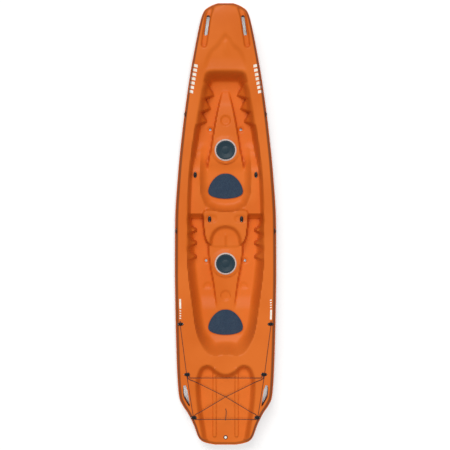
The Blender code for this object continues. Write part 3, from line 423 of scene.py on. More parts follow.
def noise(tree, place, millimetres, detail, rough=0.5):
    """Cloudy noise whose features are this far apart."""
    return add(tree, "ShaderNodeTexNoise", {"Vector": place, "Scale": scale_for(millimetres),
                                            "Detail": detail, "Roughness": rough}).outputs["Fac"]


def cells(tree, place, millimetres):
    """The distance from the middle of the nearest of many small cells."""
    return add(tree, "ShaderNodeTexVoronoi",
               {"Vector": place, "Scale": scale_for(millimetres)}).outputs["Distance"]


def relief(tree, shader, height, strength, distance, invert=False):
    made = add(tree, "ShaderNodeBump", {"Height": height, "Strength": strength, "Distance": distance},
               invert=invert)
    feed(shader, "Normal", made.outputs["Normal"])


def mix(tree, factor, first, second):
    made = add(tree, "ShaderNodeMix", {"Factor": factor}, data_type="RGBA")
    for socket, value in (("A", first), ("B", second)):
        target = [s for s in made.inputs if s.name == socket and s.type == "RGBA"][0]
        if isinstance(value, bpy.types.NodeSocket):
            tree.links.new(value, target)
        else:
            target.default_value = value
    return [s for s in made.outputs if s.type == "RGBA"][0]


PAINTED_SHADE_REACH = 0.045     # how far from a corner the painted shade reaches


def thermoformed_polyethylene():
    """High-density polyethylene sheet, drawn over a mould: waxy, half-glossy, with a fine orange peel.

    Shade is painted into the colour, which turns dark red-brown in the creases and corners, and fine pale
    scuffs lie on it.
    The 3 mm peel is drawn at 9 mm, because the real one is too fine to show.
    """
    material, tree, shader, place = new_material("orange_polyethylene_thermoformed", "#D2651B", 0.44,
                                                  Specular_IOR_Level=0.34)
    drift = ramp(tree, noise(tree, place, 420, 3), 0.35, 0.68)
    deep = mix(tree, drift, linear("#D2661E"), linear("#DA6E26"))
    grain = noise(tree, place, 9, 4, 0.6)
    mottled = mix(tree, ramp(tree, grain, 0.62, 0.8), deep, linear("#DC7732"))
    long_way = add(tree, "ShaderNodeMapping", {"Vector": place, "Scale": (1.0, 0.12, 1.0)})
    worn = ramp(tree, noise(tree, long_way.outputs["Vector"], 14, 6, 0.7), 0.64, 0.76)
    faint = add(tree, "ShaderNodeMath", {0: worn, 1: 0.1}, operation="MULTIPLY").outputs["Value"]
    scuffed = mix(tree, faint, mottled, linear("#E99A64"))
    # Painted shade: an ambient-occlusion node mixes the colour towards dark red-brown in corners and
    # creases, where shade falls.
    painted_crease_shade = add(tree, "ShaderNodeAmbientOcclusion", {"Distance": PAINTED_SHADE_REACH}, samples=8)
    unshaded_share = ramp(tree, painted_crease_shade.outputs["AO"], 0.3, 0.86)
    feed(shader, "Base Color", mix(tree, unshaded_share, linear("#A03A12"), scuffed))
    sheen = add(tree, "ShaderNodeMapRange", {"Value": grain, "To Min": 0.36, "To Max": 0.5})
    feed(shader, "Roughness", sheen.outputs["Result"])
    relief(tree, shader, grain, 0.1, 0.0012)
    return material


def closed_cell_foam():
    """EVA foam cut from a sheet and glued down: matt, with a fine pebbled skin.

    The 2 mm pebbles are drawn at 5 mm, because the real ones are too fine to show.
    """
    material, tree, shader, place = new_material("slate_eva_foam_cut", "#35485A", 0.86, Sheen_Weight=0.25)
    pebbles = cells(tree, place, 5)
    cloud = ramp(tree, noise(tree, place, 60, 3), 0.3, 0.7)
    base = mix(tree, cloud, linear("#31445A"), linear("#3B4E60"))
    feed(shader, "Base Color", mix(tree, ramp(tree, pebbles, 0.1, 0.7), base, linear("#26374A")))
    relief(tree, shader, pebbles, 0.35, 0.001, invert=True)
    return material


def moulded(name, colour, lighter, roughness, grain):
    """Injection-moulded plastic with a fine spark-eroded texture, slightly chalked where it is handled."""
    material, tree, shader, place = new_material(name, colour, roughness)
    speckle = noise(tree, place, grain, 4)
    tone = mix(tree, ramp(tree, speckle, 0.45, 0.75), linear(colour), linear(lighter))
    feed(shader, "Base Color", tone)
    relief(tree, shader, speckle, 0.25, 0.0004)
    return material


def braided(name, colour, fleck, pitch):
    """A braided sheath: small slanted bundles of yarn, with a faint lighter fleck."""
    material, tree, shader, place = new_material(name, colour, 0.78, Sheen_Weight=0.3)
    bundles = cells(tree, place, pitch)
    tone = mix(tree, ramp(tree, bundles, 0.15, 0.6), linear(fleck), linear(colour))
    feed(shader, "Base Color", tone)
    relief(tree, shader, bundles, 0.6, 0.0006, invert=True)
    return material


def pressed_steel():
    """Stainless screw heads, cold-pressed and tumbled: bright, with fine dull scratches."""
    material, tree, shader, place = new_material("stainless_steel_pressed", "#C9CACB", 0.28, Metallic=1.0)
    dull = add(tree, "ShaderNodeMapRange", {"Value": noise(tree, place, 1.2, 3), "To Min": 0.2,
                                            "To Max": 0.45})
    feed(shader, "Roughness", dull.outputs["Result"])
    return material


def printed_vinyl():
    """Cast vinyl film printed off-white: smooth and half-glossy, a little yellowed in patches."""
    material, tree, shader, place = new_material("off_white_vinyl_printed", "#F1E9DC", 0.35)
    age = ramp(tree, noise(tree, place, 25, 3), 0.4, 0.7)
    feed(shader, "Base Color", mix(tree, age, linear("#F4EEE3"), linear("#E6D8C4")))
    return material


orange = thermoformed_polyethylene()
foam = closed_cell_foam()
nylon = moulded("black_nylon_moulded", "#17181A", "#2B2D30", 0.42, 3)
lid_plastic = moulded("blue_grey_polypropylene_moulded", "#22353F", "#2D424D", 0.42, 4)
rim_plastic = moulded("pale_grey_nylon_moulded", "#C7B1A8", "#D8C6BE", 0.45, 3)
plug_plastic = moulded("off_white_polypropylene_moulded", "#ECE6DD", "#F6F2EC", 0.4, 3)
rubber = moulded("black_epdm_rubber_moulded", "#121212", "#1E1E1E", 0.7, 3)
shock_sheath = braided("black_polyester_braid_elastic", "#141416", "#3A3B40", 3.0)
line_sheath = braided("black_polyester_braid_line", "#151517", "#34353A", 2.5)
steel = pressed_steel()
vinyl = printed_vinyl()

FLOOR_NAME = "studio_floor"


def lay_floor():
    bpy.ops.mesh.primitive_plane_add(size=60)
    floor = bpy.context.object
    floor.name = FLOOR_NAME
    paper, tree, shader, place = new_material("white_paper_sweep", "#FFFFFF", 0.9)
    fibre = noise(tree, place, 600, 2)
    feed(shader, "Base Color", mix(tree, fibre, linear("#FDFDFD"), linear("#FFFFFF")))
    floor.data.materials.append(paper)
    floor.visible_diffuse = False
    floor.visible_glossy = False


lay_floor()

# ---------------------------------------------------------------- modelling helpers

def finish_piece(obj, name, *materials, body="boat", stands_for=(), slot=None):
    """Names a finished piece, gives it its materials and puts it on its body."""
    obj.name = name
    obj.data.name = name
    if materials:
        obj.data.materials.clear()
    for material in materials:
        obj.data.materials.append(material)
    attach(obj, body)
    if stands_for:
        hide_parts(*stands_for)
    return obj


def select(*objects):
    """Selects these objects alone, the first of them active."""
    bpy.ops.object.select_all(action="DESELECT")
    for obj in objects:
        obj.select_set(True)
    bpy.context.view_layer.objects.active = objects[0]


def apply_all(obj):
    """Applies every modifier, in order."""
    select(obj)
    for modifier in list(obj.modifiers):
        bpy.ops.object.modifier_apply(modifier=modifier.name)


def set_points(obj, points):
    """Moves every vertex, in code, to its own place."""
    obj.data.vertices.foreach_set("co", np.asarray(points, float).ravel())
    obj.data.update()


def points_of(obj):
    flat = np.empty(len(obj.data.vertices) * 3)
    obj.data.vertices.foreach_get("co", flat)
    return flat.reshape(-1, 3)


def soft_shading(obj, angle=35):
    obj.data.shade_smooth()
    obj.data.set_sharp_from_angle(angle=math.radians(angle))


def tree_of(obj):
    bm = bmesh.new()
    bm.from_mesh(obj.data)
    tree = BVHTree.FromBMesh(bm)
    bm.free()
    return tree


def level(tree, x, y):
    """The height of a sheet's face that looks up."""
    return tree.ray_cast(Vector((x, y, 1.0)), Vector((0, 0, -1)))[0].z

# ---------------------------------------------------------------- the two sheets

ROWS = 400
COLUMNS = 88
HULL_COLUMNS = 64
CROWDING = 0.1 / 0.77 * 0.6     # how much closer the rows come together at the ends
TUBE_SINK = 0.0008       # how far inside the boat's two faces a tube ends

# Each ring is (share of the way out to the seam, share of the way down to the flange).
DECK_RINGS = [
    (0.05, 0.008), (0.1, 0.028), (0.15, 0.06), (0.21, 0.115), (0.33, 0.25), (0.5, 0.45),
    (0.64, 0.68), (0.73, 0.88), (0.79, 0.975), (0.85, 1.0), (1.0, 1.0)]
HULL_RINGS = [
    (0.08, 0.05), (0.2, 0.14), (0.42, 0.3), (0.62, 0.5), (0.8, 0.8), (0.86, 0.93), (0.9, 1.0),
    (1.0, 1.0)]


def row_places():
    """Rows down the boat, closer together towards its blunt ends."""
    even = np.linspace(-1, 1, ROWS + 1)
    return HALF_LENGTH * (even + CROWDING * (even - even ** 3))


def draw_sheet(name, scale, height, rings, flange, columns=COLUMNS):
    """A grid shaped to the sheet's face, with its border extruded ring by ring to the flange."""
    bpy.ops.mesh.primitive_grid_add(x_subdivisions=columns, y_subdivisions=ROWS, size=2)
    obj = bpy.context.object
    unit = points_of(obj)
    rows = np.interp(unit[:, 1], np.linspace(-1, 1, ROWS + 1), row_places())
    half = along(HALF_WIDTH, rows)
    seam_x = unit[:, 0] * half
    x, y = seam_x * scale[0], rows * scale[1]
    set_points(obj, np.stack([x, y, height(x, y)], axis=1))

    bm = bmesh.new()
    bm.from_mesh(obj.data)
    border = [edge for edge in bm.edges if edge.is_boundary]
    before = scale
    for out, down in rings:
        drawn = bmesh.ops.extrude_edge_only(bm, edges=border)["geom"]
        fresh = [item for item in drawn if isinstance(item, bmesh.types.BMVert)]
        border = [edge for edge in bm.edges if edge.is_boundary]
        grow = [s + (1 - s) * out for s in scale]
        flat = np.array([vert.co[:2] for vert in fresh]) / before
        start = height(flat[:, 0] * scale[0], flat[:, 1] * scale[1])
        end = along(SEAM, flat[:, 1]) + flange
        depth = start + (end - start) * down
        for vert, (fx, fy), z in zip(fresh, flat, depth):
            vert.co = (fx * grow[0], fy * grow[1], z)
        before = grow
    bm.to_mesh(obj.data)
    bm.free()
    obj.name = name
    return obj


def thicken(obj, upward):
    """Turns the sheet's faces outward and gives it its wall on the unseen side."""
    obj.data.update()
    if (sum(face.normal.z * face.area for face in obj.data.polygons) > 0) != upward:
        obj.data.flip_normals()
    wall = obj.modifiers.new("wall", "SOLIDIFY")
    wall.thickness = SHEET
    wall.offset = -1
    wall.use_even_offset = False
    apply_all(obj)


def through_outlines():
    """The outlines of the grab slots and scuppers on the +X side."""
    fore, aft = BOW_SLOT
    heading = math.atan2(aft[1] - fore[1], aft[0] - fore[0])
    slot = []
    for (cx, cy), turn in ((aft, -0.5), (fore, 0.5)):
        for step in range(9):
            t = heading + math.pi * (turn + step / 8)
            slot.append((cx + BOW_SLOT_HALF * math.cos(t), cy + BOW_SLOT_HALF * math.sin(t)))
    return [slot, softened(STERN_SLOT, 1)] + [circle(SCUPPER_BORE, 32, centre) for centre in SCUPPERS]


def finer(outline, longest=0.012):
    """The same outline with points added along its long sides."""
    points = []
    for (ax, ay), (bx, by) in zip(outline, outline[1:] + outline[:1]):
        count = math.ceil(math.hypot(bx - ax, by - ay) / longest)
        points += [(ax + (bx - ax) * i / count, ay + (by - ay) * i / count) for i in range(count)]
    return points


def grown(outline, margin):
    """The outline moved outwards by a margin, corner by corner."""
    area = sum(a[0] * b[1] - b[0] * a[1] for a, b in zip(outline, outline[1:] + outline[:1]))
    side = margin if area > 0 else -margin
    moved = []
    for before, here, after in zip(outline[-1:] + outline[:-1], outline, outline[1:] + outline[:1]):
        first = Vector((here[0] - before[0], here[1] - before[1])).normalized()
        second = Vector((after[0] - here[0], after[1] - here[1])).normalized()
        normal = Vector((first.y + second.y, -first.x - second.x)).normalized()
        reach = side / max(0.5, normal.dot(Vector((first.y, -first.x))))
        moved.append((here[0] + normal.x * reach, here[1] + normal.y * reach))
    return moved


def solid(bm):
    """A closed shape as an object, with its faces outward."""
    bmesh.ops.recalc_face_normals(bm, faces=bm.faces)
    mesh = bpy.data.meshes.new("tool")
    bm.to_mesh(mesh)
    bm.free()
    return placed_in_scene(bpy.data.objects.new("tool", mesh))


def upright(outline, bottom, top):
    """A prism on an outline, as a cutter."""
    bm = bmesh.new()
    low = [bm.verts.new((px, py, bottom)) for px, py in outline]
    bm.faces.new(low)
    drawn = bmesh.ops.extrude_face_region(bm, geom=bm.faces[:])["geom"]
    for vert in drawn:
        if isinstance(vert, bmesh.types.BMVert):
            vert.co.z = top
    return solid(bm)


def tube_wall(outline, hull_tree, deck_tree):
    """The wall round a hole, lofted from just under the deck's face to the hull's face."""
    outer = grown(outline, SHEET)
    bm = bmesh.new()
    loops = []
    for shape, tree, rise in ((outline, deck_tree, -TUBE_SINK), (outer, deck_tree, -TUBE_SINK),
                              (outer, hull_tree, TUBE_SINK), (outline, hull_tree, TUBE_SINK)):
        loops.append([bm.verts.new((px, py, level(tree, px, py) + rise)) for px, py in shape])
    for above, below in zip(loops, loops[1:] + loops[:1]):
        for i, vert in enumerate(above):
            bm.faces.new((above[i - 1], vert, below[i], below[i - 1]))
    return solid(bm)


def cut(obj, other, operation="DIFFERENCE"):
    change = obj.modifiers.new(operation, "BOOLEAN")
    change.operation = operation
    change.object = other
    change.solver = "MANIFOLD"
    apply_all(obj)
    bpy.data.objects.remove(other)


def both_sides(outlines):
    for outline in outlines:
        yield outline
        yield [(-px, py) for px, py in reversed(outline)]


deck = draw_sheet("deck_moulding", TOP_SCALE, deck_height, DECK_RINGS, SHEET + GAP / 2)
hull = draw_sheet("hull_moulding", BILGE_SCALE, hull_height, HULL_RINGS, -SHEET - GAP / 2, HULL_COLUMNS)
deck_tree, hull_tree = tree_of(deck), tree_of(hull)
thicken(deck, True)
thicken(hull, False)
for hole in both_sides([finer(outline) for outline in through_outlines()]):
    wall = tube_wall(hole, hull_tree, deck_tree)
    cut(deck, upright(grown(hole, SHEET / 2), -0.05, 0.5))
    cut(deck, wall, "UNION")
    cut(hull, upright(grown(hole, SHEET + 2 * GAP), -0.05, 0.5))
for y in HATCHES.values():
    cut(deck, upright(circle(HATCH_BORE, 96, (0, y)), 0.12, 0.25))
cut(deck, upright(circle(DRAIN_BORE, 40, DRAIN), 0.16, 0.22))
for moulding, node in ((deck, "deck_shell"), (hull, "hull_shell")):
    soft_shading(moulding, 40)
    finish_piece(moulding, moulding.name, orange, stands_for=(node,), slot="orange_polyethylene")

# ---------------------------------------------------------------- turned fittings

def draw_rings(profile, centre, ring_joined=False):
    """Extrudes an outline ring by ring along (size, height), and closes it, unless its ends meet."""
    x, y, base = centre
    bpy.ops.object.mode_set(mode="EDIT")
    bpy.ops.mesh.select_all(action="SELECT")
    for (size, height), (wider, higher) in zip(profile, profile[1:]):
        bpy.ops.mesh.extrude_edges_move(TRANSFORM_OT_translate={"value": (0, 0, higher - height)})
        bpy.ops.transform.resize(value=(wider / size, wider / size, 1),
                                 center_override=(x, y, base + higher))
    bpy.ops.mesh.select_all(action="SELECT")
    bpy.ops.mesh.remove_doubles(threshold=1e-6)
    if not ring_joined:
        bpy.ops.mesh.fill_holes(sides=0)
    bpy.ops.mesh.select_all(action="SELECT")
    bpy.ops.mesh.normals_make_consistent(inside=False)
    bpy.ops.object.mode_set(mode="OBJECT")


def turned_piece(profile, sides, centre, ring_joined=False):
    """A piece turned about Z from a profile of (radius, height)."""
    x, y, base = centre
    bpy.ops.mesh.primitive_circle_add(vertices=sides, radius=profile[0][0],
                                      location=(x, y, base + profile[0][1]))
    obj = bpy.context.object
    bpy.ops.object.transform_apply()
    draw_rings(profile, centre, ring_joined)
    return obj


def bevelled(obj, width, segments=2, angle=30):
    edge = obj.modifiers.new("edge", "BEVEL")
    edge.width = width
    edge.segments = segments
    edge.limit_method = "ANGLE"
    edge.angle_limit = math.radians(angle)
    apply_all(obj)
    soft_shading(obj)


def screw_head(radius, frame):
    """A pan head with a cross recess, standing on the frame's floor."""
    shares = [(1, 0.0), (1, 0.25), (0.86, 0.48), (0.6, 0.6), (0.4, 0.62), (0.3, 0.3), (0.05, 0.22)]
    obj = turned_piece([(radius * out, radius * up) for out, up in shares], 20, (0, 0, 0))
    obj.data.transform(frame)
    soft_shading(obj, 45)
    return obj


def joined(objects):
    """Separate meshes as one object."""
    select(*objects)
    bpy.ops.object.join()
    return bpy.context.object


RIM_TOP = 0.006
RIM_SCREWS = 8
RIM_PROFILE = [
    (0.071, -0.028), (0.071, 0.0054), (0.0716, 0.006), (0.0893, 0.006), (0.0925, 0.0052),
    (0.0944, 0.0032), (0.095, 0.0016), (0.095, 0.0003), (0.0777, 0.0003), (0.0777, -0.028),
    (0.071, -0.028)]
LID_PROFILE = [
    (0.004, 0.0092), (0.03, 0.0089), (0.033, 0.008), (0.035, 0.008), (0.038, 0.0087),
    (0.06, 0.0085), (0.0618, 0.0091), (0.0632, 0.0108), (0.065, 0.0115), (0.079, 0.0115),
    (0.0812, 0.0109), (0.0826, 0.0095), (0.083, 0.008), (0.083, 0.0065), (0.0785, 0.0065),
    (0.0785, 0.0101), (0.0722, 0.0101), (0.07, 0.0063), (0.07, -0.018), (0.066, -0.018),
    (0.066, 0.004), (0.004, 0.004)]
LID_GRIPS = 24
PLUG_GRIPS = 16


def scallop(obj, centre, beyond, above, count, depth, sharpness):
    """Pulls finger grips into a turned piece's edge, past a radius and a height."""
    points = points_of(obj)
    out = points[:, :2] - centre
    wave = (0.5 + 0.5 * np.cos(np.arctan2(out[:, 1], out[:, 0]) * count)) ** sharpness
    edge = (np.hypot(out[:, 0], out[:, 1]) > beyond) & (points[:, 2] > above)
    points[:, :2] = centre + out * (1 - np.where(edge, depth * wave, 0))[:, None]
    set_points(obj, points)


def make_rubber(name):
    """A ring that keeps its CAD shape, in black rubber."""
    ring = frame["nodes"][name]
    ring.data.materials.clear()
    ring.data.materials.append(rubber)


def make_hatch(place, y):
    """A rim screwed down over the bore, and a lid with a scalloped edge that turns in it."""
    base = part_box(f"{place}_hatch_rim")[1].z - RIM_TOP
    rim = turned_piece(RIM_PROFILE, 96, (0, y, base), ring_joined=True)
    soft_shading(rim, 30)
    finish_piece(rim, f"{place}_hatch_rim_moulding", rim_plastic, stands_for=(f"{place}_hatch_rim",),
                 slot="pale_rim")
    heads = []
    for i in range(RIM_SCREWS):
        t = 2 * math.pi * (i + 0.5) / RIM_SCREWS
        spot = Matrix.Translation((0.0885 * math.cos(t), y + 0.0885 * math.sin(t), base + RIM_TOP))
        heads.append(screw_head(0.003, spot))
    finish_piece(joined(heads), f"{place}_hatch_rim_screws", steel)

    lid = turned_piece(LID_PROFILE, 96, (0, y, base))
    scallop(lid, (0, y), 0.0788, base + RIM_TOP, LID_GRIPS, 0.016, 3)
    soft_shading(lid, 30)
    finish_piece(lid, f"{place}_hatch_lid_moulding", lid_plastic, body=f"{place}_hatch_lid",
                 stands_for=(f"{place}_hatch_lid",), slot="dark_lid")


for place, y in HATCHES.items():
    make_hatch(place, y)
    make_rubber(f"{place}_hatch_seal")

# ---------------------------------------------------------------- seat pads

PAD_HALF = [
    (0, 0.11), (0.047, 0.1035), (0.094, 0.071), (0.131, 0.023), (0.153, -0.036), (0.146, -0.071),
    (0.115, -0.092), (0.057, -0.107), (0, -0.1105)]
PAD_RINGS = [
    (0.985, 0.0), (0.997, 0.002), (1.0, 0.005), (0.997, 0.0082), (0.985, 0.0102), (0.965, 0.011),
    (0.93, 0.0113), (0.8, 0.0116), (0.6, 0.0118), (0.35, 0.012), (0.06, 0.012)]


def make_pad(place, y):
    """A pad of foam cut with round edges and laid on the seat floor."""
    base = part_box(f"{place}_seat_pad")[0].z
    outline = finer(softened(closed(PAD_HALF), 3), 0.008)
    bpy.ops.mesh.primitive_circle_add(vertices=len(outline), radius=1)
    pad = bpy.context.object
    set_points(pad, [(px * PAD_RINGS[0][0], y + py * PAD_RINGS[0][0], base) for px, py in outline])
    draw_rings(PAD_RINGS, (0, y, base))
    soft_shading(pad, 50)
    finish_piece(pad, f"{place}_seat_foam_pad", foam, stands_for=(f"{place}_seat_pad",), slot="seat_foam")


for place, y in SEATS.items():
    make_pad(place, y)

# ---------------------------------------------------------------- drain

def make_drain():
    """A threaded fitting with a fluted plug screwed into it."""
    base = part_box("drain_fitting")[1].z - 0.003
    x, y = DRAIN
    fitting = turned_piece([(0.0078, -0.014), (0.0078, 0.0027), (0.0082, 0.003), (0.0156, 0.003),
                            (0.0172, 0.0024), (0.018, 0.0012), (0.018, 0.0), (0.0107, 0.0),
                            (0.0107, -0.014), (0.0078, -0.014)], 48, (x, y, base), ring_joined=True)
    soft_shading(fitting, 30)
    finish_piece(fitting, "drain_fitting_moulding", nylon, stands_for=("drain_fitting",), slot="black_nylon")
    plug = turned_piece([(0.0012, 0.008), (0.0035, 0.0078), (0.0045, 0.009), (0.0052, 0.0095),
                         (0.0095, 0.0095), (0.0108, 0.0089), (0.0115, 0.008), (0.0115, 0.0058),
                         (0.0074, 0.0058), (0.0074, -0.008), (0.0012, -0.008)], 64, (x, y, base))
    scallop(plug, DRAIN, 0.01, base + 0.005, PLUG_GRIPS, 0.05, 2)
    soft_shading(plug, 35)
    finish_piece(plug, "drain_plug_moulding", plug_plastic, body="drain_plug", stands_for=("drain_plug",),
                 slot="black_nylon")
    make_rubber("drain_plug_seal")


make_drain()

# ---------------------------------------------------------------- deck loops

EYE_HALF = 0.024
EYE_WIDTH = 0.016
EYE_ARCH = 0.0126        # from the arch's centre to the middle of the strap
EYE_STRAP = 0.0032
PLATE_HALF = 0.0262      # the base plate's half length and half width
PLATE_ACROSS = 0.015
EYES = {"bow_side": ((0.344, 0.953), "side"), "mid_side": ((0.424, -0.052), "side"),
        "front_seat": ((0.262, 0.432), "along"), "centre_block": ((0.138, 0.05), "along"),
        "rear_side": ((0.386, -0.85), "across"), "well_front": ((0.33, -1.282), "across"),
        "well_rear": ((0.272, -1.652), "across")}


def loop_path(share):
    """The middle of the strap from one foot over the arch to the other, for share from 0 to 1."""
    stops = [(-0.0232, 0.0016, 0.5), (-0.0185, 0.0016, 0.52), (-0.015, 0.002, 0.5)]
    stops += [(EYE_ARCH * math.cos(math.radians(a)), EYE_ARCH * math.sin(math.radians(a)), 0.42)
              for a in (158, 130, 105, 90, 75, 50, 22)]
    stops += [(-x, z, w) for x, z, w in reversed(stops[:3])]
    places = np.linspace(0, 1, len(stops))
    return [along(list(zip(places, [stop[i] for stop in stops])), share) for i in range(3)]


def make_base_plate():
    """An oval plate under the arch, with its upper edge rounded."""
    rings = [(1.0, 0.0), (1.0, 0.0012), (0.975, 0.002), (0.92, 0.0023), (0.5, 0.0024)]
    plate = turned_piece([(PLATE_HALF * share, height) for share, height in rings], 40, (0, 0, 0))
    points = points_of(plate)
    points[:, 1] *= PLATE_ACROSS / PLATE_HALF
    set_points(plate, points)
    soft_shading(plate, 40)
    return plate


def make_loop_mesh():
    """A flat strip bent over an arch, thickened and rounded, with a screw head on each foot."""
    bpy.ops.mesh.primitive_grid_add(x_subdivisions=40, y_subdivisions=4, size=1)
    strap = bpy.context.object
    unit = points_of(strap)
    x, z, half = loop_path(unit[:, 0] + 0.5)
    taper = 1 - 0.55 * np.clip((np.abs(x) - 0.0195) / 0.004, 0, 1) ** 2
    set_points(strap, np.stack([x, unit[:, 1] * 2 * half * EYE_WIDTH * taper, z], axis=1))
    wall = strap.modifiers.new("strap", "SOLIDIFY")
    wall.thickness = EYE_STRAP - 0.0004
    wall.offset = 0
    bevelled(strap, 0.0006, 2, 50)
    strap.data.materials.append(nylon)
    strap.data.materials.append(steel)
    plate = make_base_plate()
    plate.data.materials.append(nylon)
    heads = [screw_head(0.0034, Matrix.Translation((side * 0.0196, 0, 0.003))) for side in (-1, 1)]
    for head in heads:
        head.data.materials.append(steel)
    return joined([strap, plate, *heads])


def stand(start, ray, along_axis):
    """The place of a fitting on the sheet where a ray meets it."""
    hit, normal, _, _ = deck_tree.ray_cast(Vector(start), Vector(ray))
    if normal.dot(Vector(ray)) > 0:
        normal = -normal
    x_axis = (Vector(along_axis) - normal * normal.dot(Vector(along_axis))).normalized()
    y_axis = normal.cross(x_axis)
    lift = 0.0
    for u in (-1, -0.45, 0, 0.45, 1):
        for v in (-1, 1):
            probe = hit + x_axis * u * EYE_HALF + y_axis * v * EYE_WIDTH / 2 + normal * 0.05
            found = deck_tree.ray_cast(probe, -normal)[0]
            if found:
                lift = max(lift, 0.05 - (probe - found).length)
    turn = Matrix((x_axis, y_axis, normal)).transposed().to_4x4()
    return Matrix.Translation(hit + normal * (lift + GAP)) @ turn


def make_loops():
    pattern = make_loop_mesh()
    placed = {}
    for name, ((x, y), manner) in EYES.items():
        for side, sign in (("right", 1), ("left", -1)):
            start, ray = (sign * x, y, 1.0), (0, 0, -1)
            if manner == "side":
                start = (sign * 1.0, y, float(along(SEAM, y)) + 0.055)
                ray = (-sign, 0, 0)
            placed[name, side] = stand(start, ray, (sign, 0, 0) if manner == "across" else (0, 1, 0))
            loop = placed_in_scene(bpy.data.objects.new("loop", pattern.data.copy()))
            loop.data.transform(placed[name, side])
            finish_piece(loop, f"{name}_deck_loop_{side}", stands_for=(f"{name}_eye_{side}",),
                         slot="black_nylon")
    bpy.data.objects.remove(pattern)
    return placed


placed = make_loops()

# ---------------------------------------------------------------- cords

SHOCK_CORD = 0.005
SIDE_CORD = 0.004
CORD_LIFT = 0.006       # a cord's centre above the deck under a loop
UNDER_ARCH = 0.005      # how far inboard of a loop's middle the shock cord passes under it
AROUND_LEG = 0.0175      # and where it comes back, round the inner leg
BEND = (AROUND_LEG - UNDER_ARCH) / 2
SIDE_LIFT = 0.0018
SIDE_OFFSET = 0.004
TAIL_LENGTH = 0.1
KNOT_RADIUS = 0.0075
END_KNOT_RADIUS = 0.0052
END_KNOT_OUT = Vector((0, 0.0058, 0))    # from the end of a side line to its knot
CROSSING_LIFT = 0.004    # how far the diagonals pass above and below their middle
CLEARANCE = GAP * 3


def curve_through(name, places, radius):
    data = bpy.data.curves.new(name, "CURVE")
    data.dimensions = "3D"
    data.bevel_depth = radius
    data.bevel_resolution = 3
    spline = data.splines.new("POLY")
    spline.points.add(len(places) - 1)
    for point, place in zip(spline.points, places):
        point.co = (*place, 1)
    return data, spline


def draw_cord(name, points, diameter, spacing):
    """A round cord on a smooth curve through its points, and the length of that curve."""
    points = np.array([tuple(p) for p in points])
    steps = np.linalg.norm(np.diff(points, axis=0), axis=1)
    reach = np.concatenate([[0], np.cumsum(steps)])
    spans = [np.linspace(a, b, max(1, math.ceil((b - a) / spacing)), endpoint=False)
             for a, b in zip(reach, reach[1:])]
    at = np.concatenate(spans + [reach[-1:]])
    route = np.stack([along(list(zip(reach, points[:, axis])), at) for axis in range(3)], axis=1)
    data, spline = curve_through(name, route, diameter / 2)
    data.use_fill_caps = True
    spline.use_smooth = True
    obj = placed_in_scene(bpy.data.objects.new(name, data))
    return obj, float(np.linalg.norm(np.diff(route, axis=0), axis=1).sum()), tuple(route[0])


def arc_points(centre, start, sweep, steps=10):
    angles = [math.radians(start + sweep * i / steps) for i in range(steps + 1)]
    return [centre + Vector((BEND * math.cos(t), BEND * math.sin(t), 0)) for t in angles]


def front_corner():
    """The shock cord's way round the inner leg of a right front loop, from under the arch."""
    under = [Vector((-UNDER_ARCH, y, 0)) for y in (-0.03, -0.018, 0)]
    turn = arc_points(Vector((-UNDER_ARCH - BEND, 0.009, 0)), 0, 180)
    back = [Vector((-AROUND_LEG, y, 0)) for y in (0, -0.014)]
    return under + turn + back + [Vector((-AROUND_LEG - 0.008, -0.029, 0))]


def rear_corner():
    """The shock cord's way under a right rear loop, from the diagonal to the aft line."""
    under = [Vector((-UNDER_ARCH, y, 0)) for y in (0.018, 0.006, -0.008)]
    return under + arc_points(Vector((-UNDER_ARCH - BEND, -0.009, 0)), 0, -90)


def at_loop(offsets, place, side):
    """A corner's points at a loop; on the left they are mirrored and run the other way."""
    if side == "right":
        return [place @ Vector((step.x, step.y, CORD_LIFT)) for step in offsets]
    return [place @ Vector((step.x, -step.y, CORD_LIFT)) for step in reversed(offsets)]


def straight(leaving, middle, arriving):
    """Two corners of the shock cord and the straight run between them, over or under the crossing."""
    out = [leaving[-1].lerp(middle, share) for share in (0.18, 0.45, 0.85)]
    back = [middle.lerp(arriving[0], share) for share in (0.15, 0.55, 0.82)]
    return [*leaving, *out, middle, *back, *arriving]


def tie_knot(name, centre, radius, finish, stands_for=()):
    """An overhand knot: a cord pulled tight through its own loop."""
    turns = [2 * math.pi * i / 60 for i in range(60)]
    unit = radius / 4.1
    places = [(centre[0] + unit * (math.sin(t) + 2 * math.sin(2 * t)),
               centre[1] + unit * (math.cos(t) - 2 * math.cos(2 * t)),
               centre[2] - unit * 1.1 * math.sin(3 * t)) for t in turns]
    data, spline = curve_through(name, places, unit * 1.15)
    spline.use_cyclic_u = True
    select(placed_in_scene(bpy.data.objects.new(name, data)))
    bpy.ops.object.convert(target="MESH")
    knot = bpy.context.object
    soft_shading(knot, 60)
    return finish_piece(knot, name, finish, stands_for=stands_for, slot="cord_braid")


